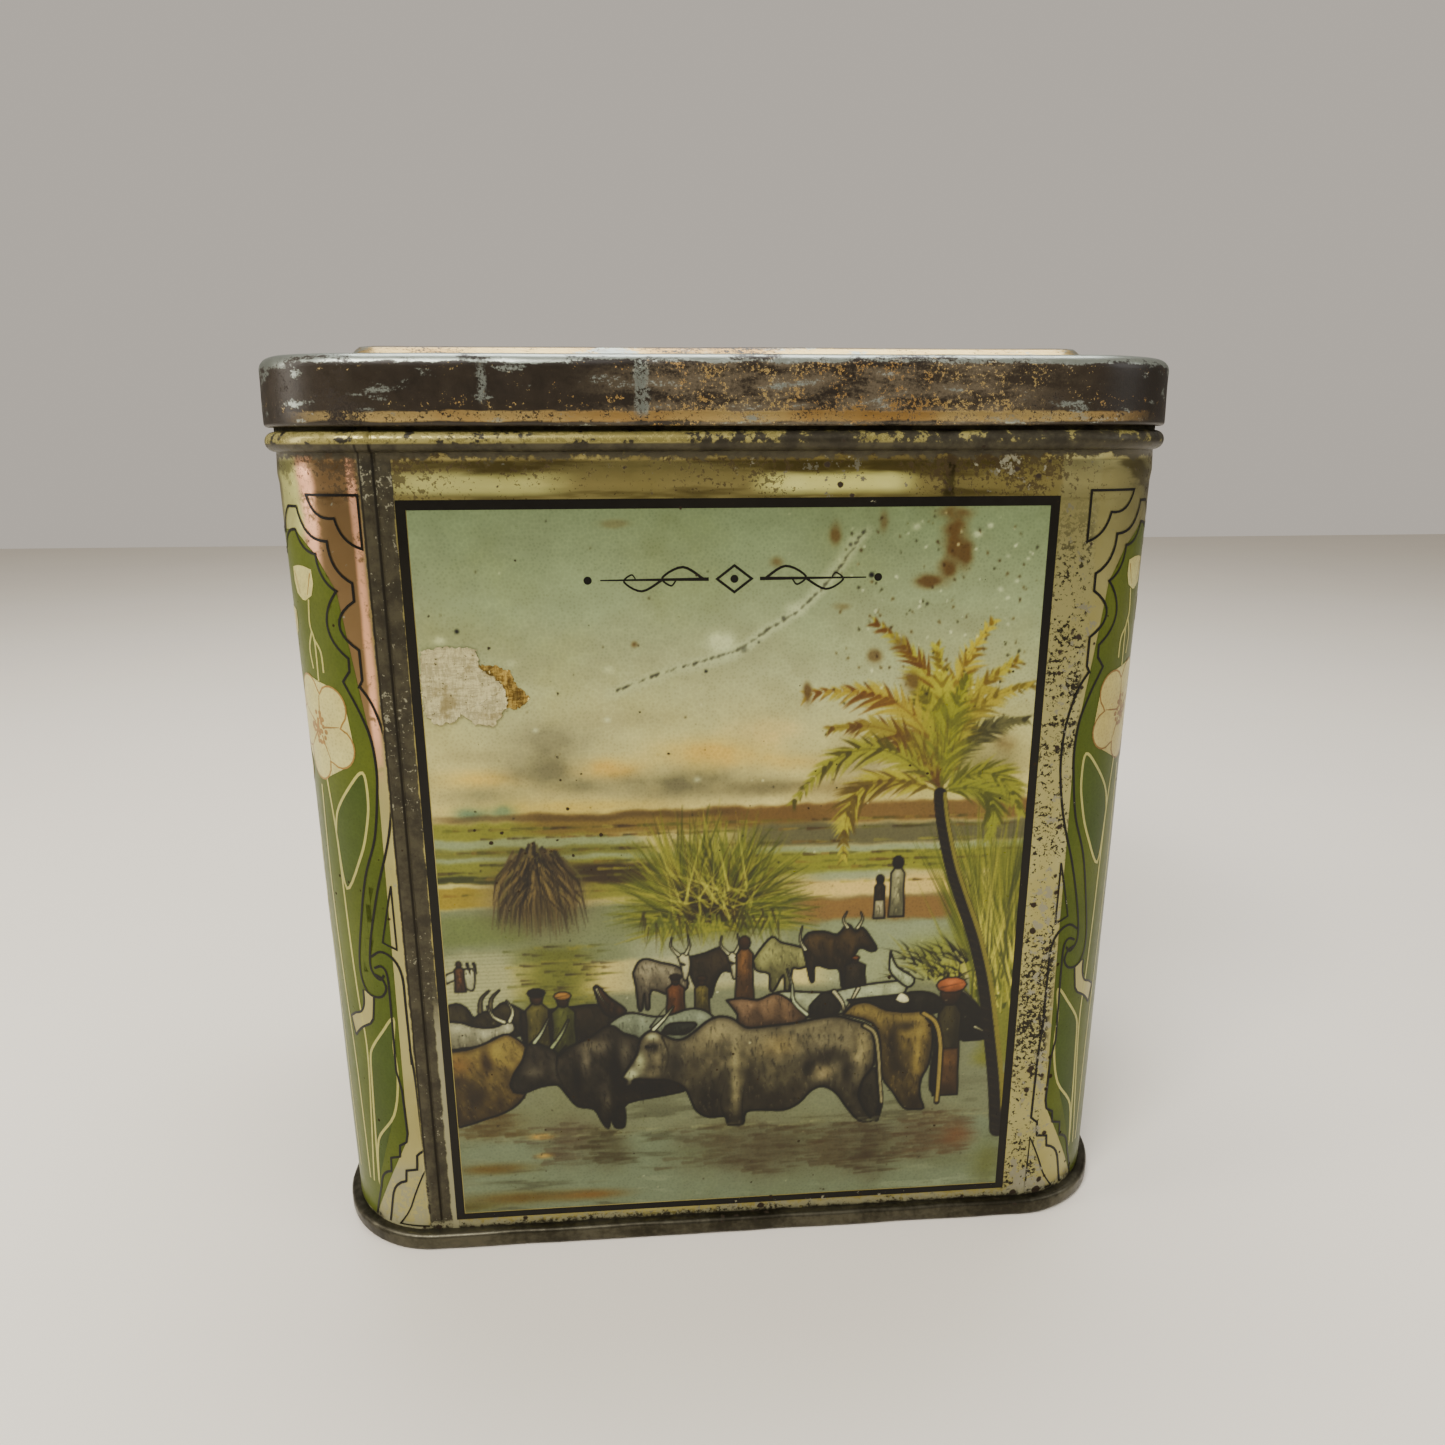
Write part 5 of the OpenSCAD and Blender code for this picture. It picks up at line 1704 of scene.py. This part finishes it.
# a sheet of points over part of the picture, with the painted colours; its way is 1 on the front, -1 behind
def picturePiece(name, colours, low, high, cell, way=1):
    columns, rows = [round(length / cell) + 1 for length in (picture["right"] - picture["left"],
        high - low)]
    mesh = bmesh.new()
    bmesh.ops.create_grid(mesh, x_segments=columns - 1, y_segments=rows - 1, size=1.0)
    bmesh.ops.scale(mesh, vec=((picture["right"] - picture["left"]) / 2, (high - low) / 2, 1),
        verts=mesh.verts)
    bmesh.ops.translate(mesh, vec=((picture["right"] + picture["left"]) / 2, (high + low) / 2, 0),
        verts=mesh.verts)
    flat = np.array([v.co for v in mesh.verts])
    piece = finishPiece(name, mesh, "tin", [pictureInk])
    x = picture["aside"] + picture["width"] * flat[:, 0]
    z = picture["up"] + picture["height"] * flat[:, 1]
    # the dents are worked out on the wall's own lattice, and the points between lie on straight lines
    pace, reach = tin["flatStep"], 66
    places = [a if way > 0 else math.copysign(halfRound - abs(a), -a) for a in np.arange(-reach, 67, pace)]
    dents = np.array([[dentAt(a, h) for a in places] for h in np.arange(0, 172, pace)])
    ix, iz = ((x + reach) / pace).astype(int), (z / pace).astype(int)
    dent = between(dents, ix, iz, (x + reach) / pace - ix, z / pace - iz)
    spots = np.stack([way * x, -way * (halfY + cornerR + picture["lift"] + dent), z], axis=1)
    piece.data.vertices.foreach_set("co", (spots * mm).ravel())
    px = (flat[:, 0] - picture["left"]) / picture["cell"]
    pz = (flat[:, 1] - picture["low"]) / picture["cell"]
    ix = np.clip(px.astype(int), 0, len(across) - 2)
    iz = np.clip(pz.astype(int), 0, len(upward) - 2)
    seen = between(colours, ix, iz, np.clip(px - ix, 0, 1)[:, None], np.clip(pz - iz, 0, 1)[:, None])
    linear = deepened(np.clip(seen, 0, 1))
    layer = piece.data.color_attributes.new("painted", "FLOAT_COLOR", "POINT")
    layer.data.foreach_set("color", np.concatenate([linear, np.ones((len(x), 1))], axis=1).ravel())
    piece.data.update()
    return piece


third = (picture["high"] - picture["low"]) / 3
for part, name in enumerate(("picture_lower", "picture_middle", "picture_upper")):
    start = picture["low"] + part * third
    picturePiece(name, canvas, start, start + third, picture["cell"])
picturePiece("back_picture", cleanCanvas, picture["low"], picture["high"], picture["backCell"], -1)
print("picture pieces made")

# the black frame round each picture, and a plain divider where the front had its line of lettering

divider = {"middle": 151.6, "reach": 30.0, "lozenge": 2.6, "dot": 0.8, "line": 0.7}


def drawFrame(mesh, middle):
    left, right, low, high = picture["frameOut"]
    wide = 1.85
    for points in ([(left, high), (right, high)], [(left, low), (right, low)]):
        addLine(mesh, [(x + middle, z + (-wide / 2 if z > 80 else 0.75)) for x, z in points],
            wide if points[0][1] > 80 else 1.5)
    for at in (left + wide / 2 - 0.1, right - wide / 2 + 0.1):
        addLine(mesh, [(at + middle, low), (at + middle, high)], wide)


def drawDivider(mesh, middle):
    z, reach = divider["middle"], divider["reach"]
    for side in (-1, 1):
        addLine(mesh, [(middle + side * 5, z), (middle + side * (reach - 4), z)], divider["line"], 0.25)
        addDot(mesh, middle + side * (reach - 1.6), z, divider["dot"])
        addLine(mesh, flow([(middle + side * 6, z), (middle + side * 10, z + 2.4),
            (middle + side * 14, z + 0.4), (middle + side * 12.4, z - 1.2),
            (middle + side * 11.4, z - 0.2)], 5), 0.55, 0.3)
        addLine(mesh, flow([(middle + side * 14, z), (middle + side * 18, z - 2.2),
            (middle + side * 21.4, z - 0.4), (middle + side * 20, z + 1.0),
            (middle + side * 19.2, z + 0.2)], 5), 0.5, 0.25)
    size = divider["lozenge"]
    addLine(mesh, [(middle, z + size), (middle + size * 1.3, z), (middle, z - size),
        (middle - size * 1.3, z)], 0.5, closed=True)
    addDot(mesh, middle, z, divider["dot"])


def artPiece(name, material, lift, draws, middle=0.0):
    mesh = bmesh.new()
    for draw in draws:
        draw(mesh, middle)
    wrapArt(mesh, lift)
    return finishPiece(name, mesh, "tin", [material])


artPiece("front_frame_and_divider", blackInk, 0.06, [drawFrame, drawDivider])
artPiece("back_frame_and_divider", blackInk, 0.06, [drawFrame, drawDivider], halfRound)
print("frames made")

# what is left of a paper label, torn all round and curling a little, and the old glue beside it

label = {"paper": [(-60.9, 138.6), (-56, 139.2), (-50.4, 138.8), (-50.0, 135), (-46.8, 132.4),
    (-45.2, 130.6), (-45.0, 127.2), (-47.8, 123.2), (-51.6, 123.6), (-54.2, 125.7), (-56, 124.1),
    (-59.6, 123.7), (-61.2, 126.2), (-61.4, 132)], "glue": [(-50.6, 135.6), (-46.6, 135.2), (-44.2, 134),
    (-43.2, 131.4), (-40.8, 128.6), (-42.2, 126.8), (-45.6, 126.4), (-48, 129)], "thickness": 0.14,
    "tear": 0.28, "cell": 0.7,}


# an outline with a torn edge: more points, each thrown a little to the side
def tornOutline(points, throw, seed):
    chance = random.Random(seed)
    ring = []
    for a, b in zip(points, points[1:] + points[:1]):
        count = max(1, round(math.dist(a, b) / 0.45))
        for i in range(count):
            x, z = a[0] + (b[0] - a[0]) * i / count, a[1] + (b[1] - a[1]) * i / count
            ring.append((x + throw * chance.uniform(-1, 1), z + throw * chance.uniform(-1, 1)))
    return ring


def torn(name, points, thickness, low, curl, material, node, seed):
    mesh = bmesh.new()
    ring = tornOutline(points, label["tear"], seed)
    addFill(mesh, ring)
    lowX, highX = min(p[0] for p in ring), max(p[0] for p in ring)
    lowZ, highZ = min(p[1] for p in ring), max(p[1] for p in ring)
    for start, stop, way in ((lowX, highX, (1, 0, 0)), (lowZ, highZ, (0, 1, 0))):
        for i in range(1, int((stop - start) / label["cell"])):
            at = start + i * label["cell"]
            cutArt(mesh, (at * way[0], at * way[1], 0), way)
    turnFacesUp(mesh)
    edge = {vert for vert in mesh.verts if vert.is_boundary}
    flat = {vert: Vector((vert.co.x, vert.co.y)) for vert in mesh.verts}
    for vert in mesh.verts:
        x, z = flat[vert]
        away = min((flat[other] - flat[vert]).length for other in edge)
        lift = low + curl * math.exp(-away / 0.9) * (0.4 + 0.6 * max(0, noise.noise(Vector((x * 0.2,
            z * 0.2, 5)))) * 2)
        lift += 0.05 * abs(noise.noise(Vector((x * 0.9, z * 0.9, 2))))
        vert.co = onWall(x, z, lift)
    bmesh.ops.solidify(mesh, geom=mesh.faces[:], thickness=thickness)
    bmesh.ops.recalc_face_normals(mesh, faces=mesh.faces)
    return finishPiece(name, mesh, "tin", [material], node)


# fibres, stains and scuffs of old paper or of dried glue
def fibreMaterial(name, light, dark, stain, spots):
    material, tree, shader = newTree(name, 0.2)
    vector = coordinates(tree)[0]
    coarse = grain(tree, vector, 170, 4, 0.65)
    fibres = grain(tree, vector, 1100, 5, 0.8, stretch=(0.35, 1.0, 1.6))
    crossing = grain(tree, vector, 1100, 5, 0.8, stretch=(1.6, 1.0, 0.35))
    hairs = added(tree, fibres, crossing)
    base = mixColour(tree, step(tree, hairs, 0.85, 1.15), light, dark)
    base = mixColour(tree, times(tree, step(tree, coarse, 0.50, 0.64), 0.7), base, stain)
    base = mixColour(tree, step(tree, grain(tree, vector, 900, 3, 0.7), 0.62, 0.67), base, spots)
    tree.links.new(base, shader.inputs["Base Color"])
    tree.links.new(mixValue(tree, hairs, 0.75, 0.95), shader.inputs["Roughness"])
    bumped(tree, shader, added(tree, hairs, coarse), 0.00008, 0.7)
    return material


agedPaper = fibreMaterial("agedPaper", tint(192, 182, 160), tint(170, 160, 140), tint(156, 138, 104),
    tint(130, 116, 92))
driedGlue = fibreMaterial("driedGlue", tint(188, 160, 100), tint(150, 118, 66), tint(112, 84, 48),
    tint(200, 184, 142))
torn("label_glue_smear", label["glue"], 0.06, 0.10, 0.05, driedGlue, "label_glue", 3)
torn("label_torn_paper", label["paper"], label["thickness"], 0.20, 0.35, agedPaper,
    "label_remnant", 4)
print("paper remnant made")

# floor, backdrop, lights and camera


def plainMaterial(name, colour, second, rough):
    material, tree, shader = newTree(name)
    vector = put(tree, "ShaderNodeTexCoord").outputs["Object"]
    tone = grain(tree, vector, 6, 3)
    tree.links.new(mixColour(tree, tone, colour, second), shader.inputs["Base Color"])
    shader.inputs["Roughness"].default_value = rough
    return material


def makeStage():
    floorMesh = bmesh.new()
    bmesh.ops.create_grid(floorMesh, x_segments=1, y_segments=1, size=1.6)
    floorData = bpy.data.meshes.new("floor")
    floorMesh.to_mesh(floorData)
    floorMesh.free()
    floorData.materials.append(plainMaterial("paleFloor", (0.88, 0.82, 0.71, 1), (0.83, 0.77, 0.66, 1),
        0.55))
    floor = bpy.data.objects.new("floor", floorData)
    bpy.context.scene.collection.objects.link(floor)
    return floor


lighting = {
    # name: place in metres, size in metres, power in watts, colour
    "key": ((-0.50, -0.70, 1.05), (0.5, 0.4), 16.0, (1.0, 0.98, 0.95)),
    "fill": ((0.95, -0.6, 0.6), (0.6, 0.6), 4.0, (0.97, 0.98, 1.0)),
    "top": ((0.05, 0.30, 1.1), (0.9, 0.4), 11.0, (0.95, 0.97, 1.0)),
    "left": ((-0.9, -0.15, 0.45), (0.25, 0.7), 4.0, (1.0, 0.95, 0.88)),
}
# the room round it: brightness at the level of the eye and overhead, and how bright it looks behind the tin
room = {"level": 0.16, "overhead": 0.50, "behind": 0.57}


def makeLights():
    for name, (spot, size, power, colour) in lighting.items():
        lamp = bpy.data.lights.new(name, "AREA")
        lamp.shape = "RECTANGLE"
        lamp.size, lamp.size_y = size
        lamp.energy = power
        lamp.color = colour
        holder = bpy.data.objects.new(name, lamp)
        bpy.context.scene.collection.objects.link(holder)
        holder.location = spot
        holder.rotation_euler = (Vector((0, 0, 0.1)) - Vector(spot)).to_track_quat("-Z", "Y").to_euler()
    world = bpy.data.worlds.new("studio")
    world.use_nodes = True
    tree = world.node_tree
    background = tree.nodes["Background"]
    background.inputs["Color"].default_value = (0.94, 0.86, 0.76, 1)
    parts = put(tree, "ShaderNodeSeparateXYZ")
    tree.links.new(put(tree, "ShaderNodeTexCoord").outputs["Generated"], parts.inputs[0])
    rise = step(tree, parts.outputs[2], 0.0, 0.9)
    strength = mixValue(tree, rise, room["level"], room["overhead"])
    seen = put(tree, "ShaderNodeLightPath").outputs["Is Camera Ray"]
    tree.links.new(mixValue(tree, seen, strength, room["behind"]), background.inputs["Strength"])
    bpy.context.scene.world = world


view = {"place": (-17.67, -253.9, 177.76), "turn": -4.42, "down": 15.56, "roll": -0.16, "lens": 25.33}


def makeCamera():
    lens = bpy.data.cameras.new("camera")
    lens.lens = view["lens"]
    lens.sensor_width = 36
    lens.clip_start = 0.01
    holder = bpy.data.objects.new("camera", lens)
    bpy.context.scene.collection.objects.link(holder)
    turn = Matrix.Rotation(math.radians(view["turn"]), 4, "Z")
    tip = Matrix.Rotation(math.radians(90 - view["down"]), 4, "X")
    roll = Matrix.Rotation(math.radians(view["roll"]), 4, "Z")
    holder.matrix_world = Matrix.Translation(Vector(view["place"]) * mm) @ turn @ tip @ roll
    bpy.context.scene.camera = holder


makeStage()
makeLights()
makeCamera()
print("stage, lights and camera made")
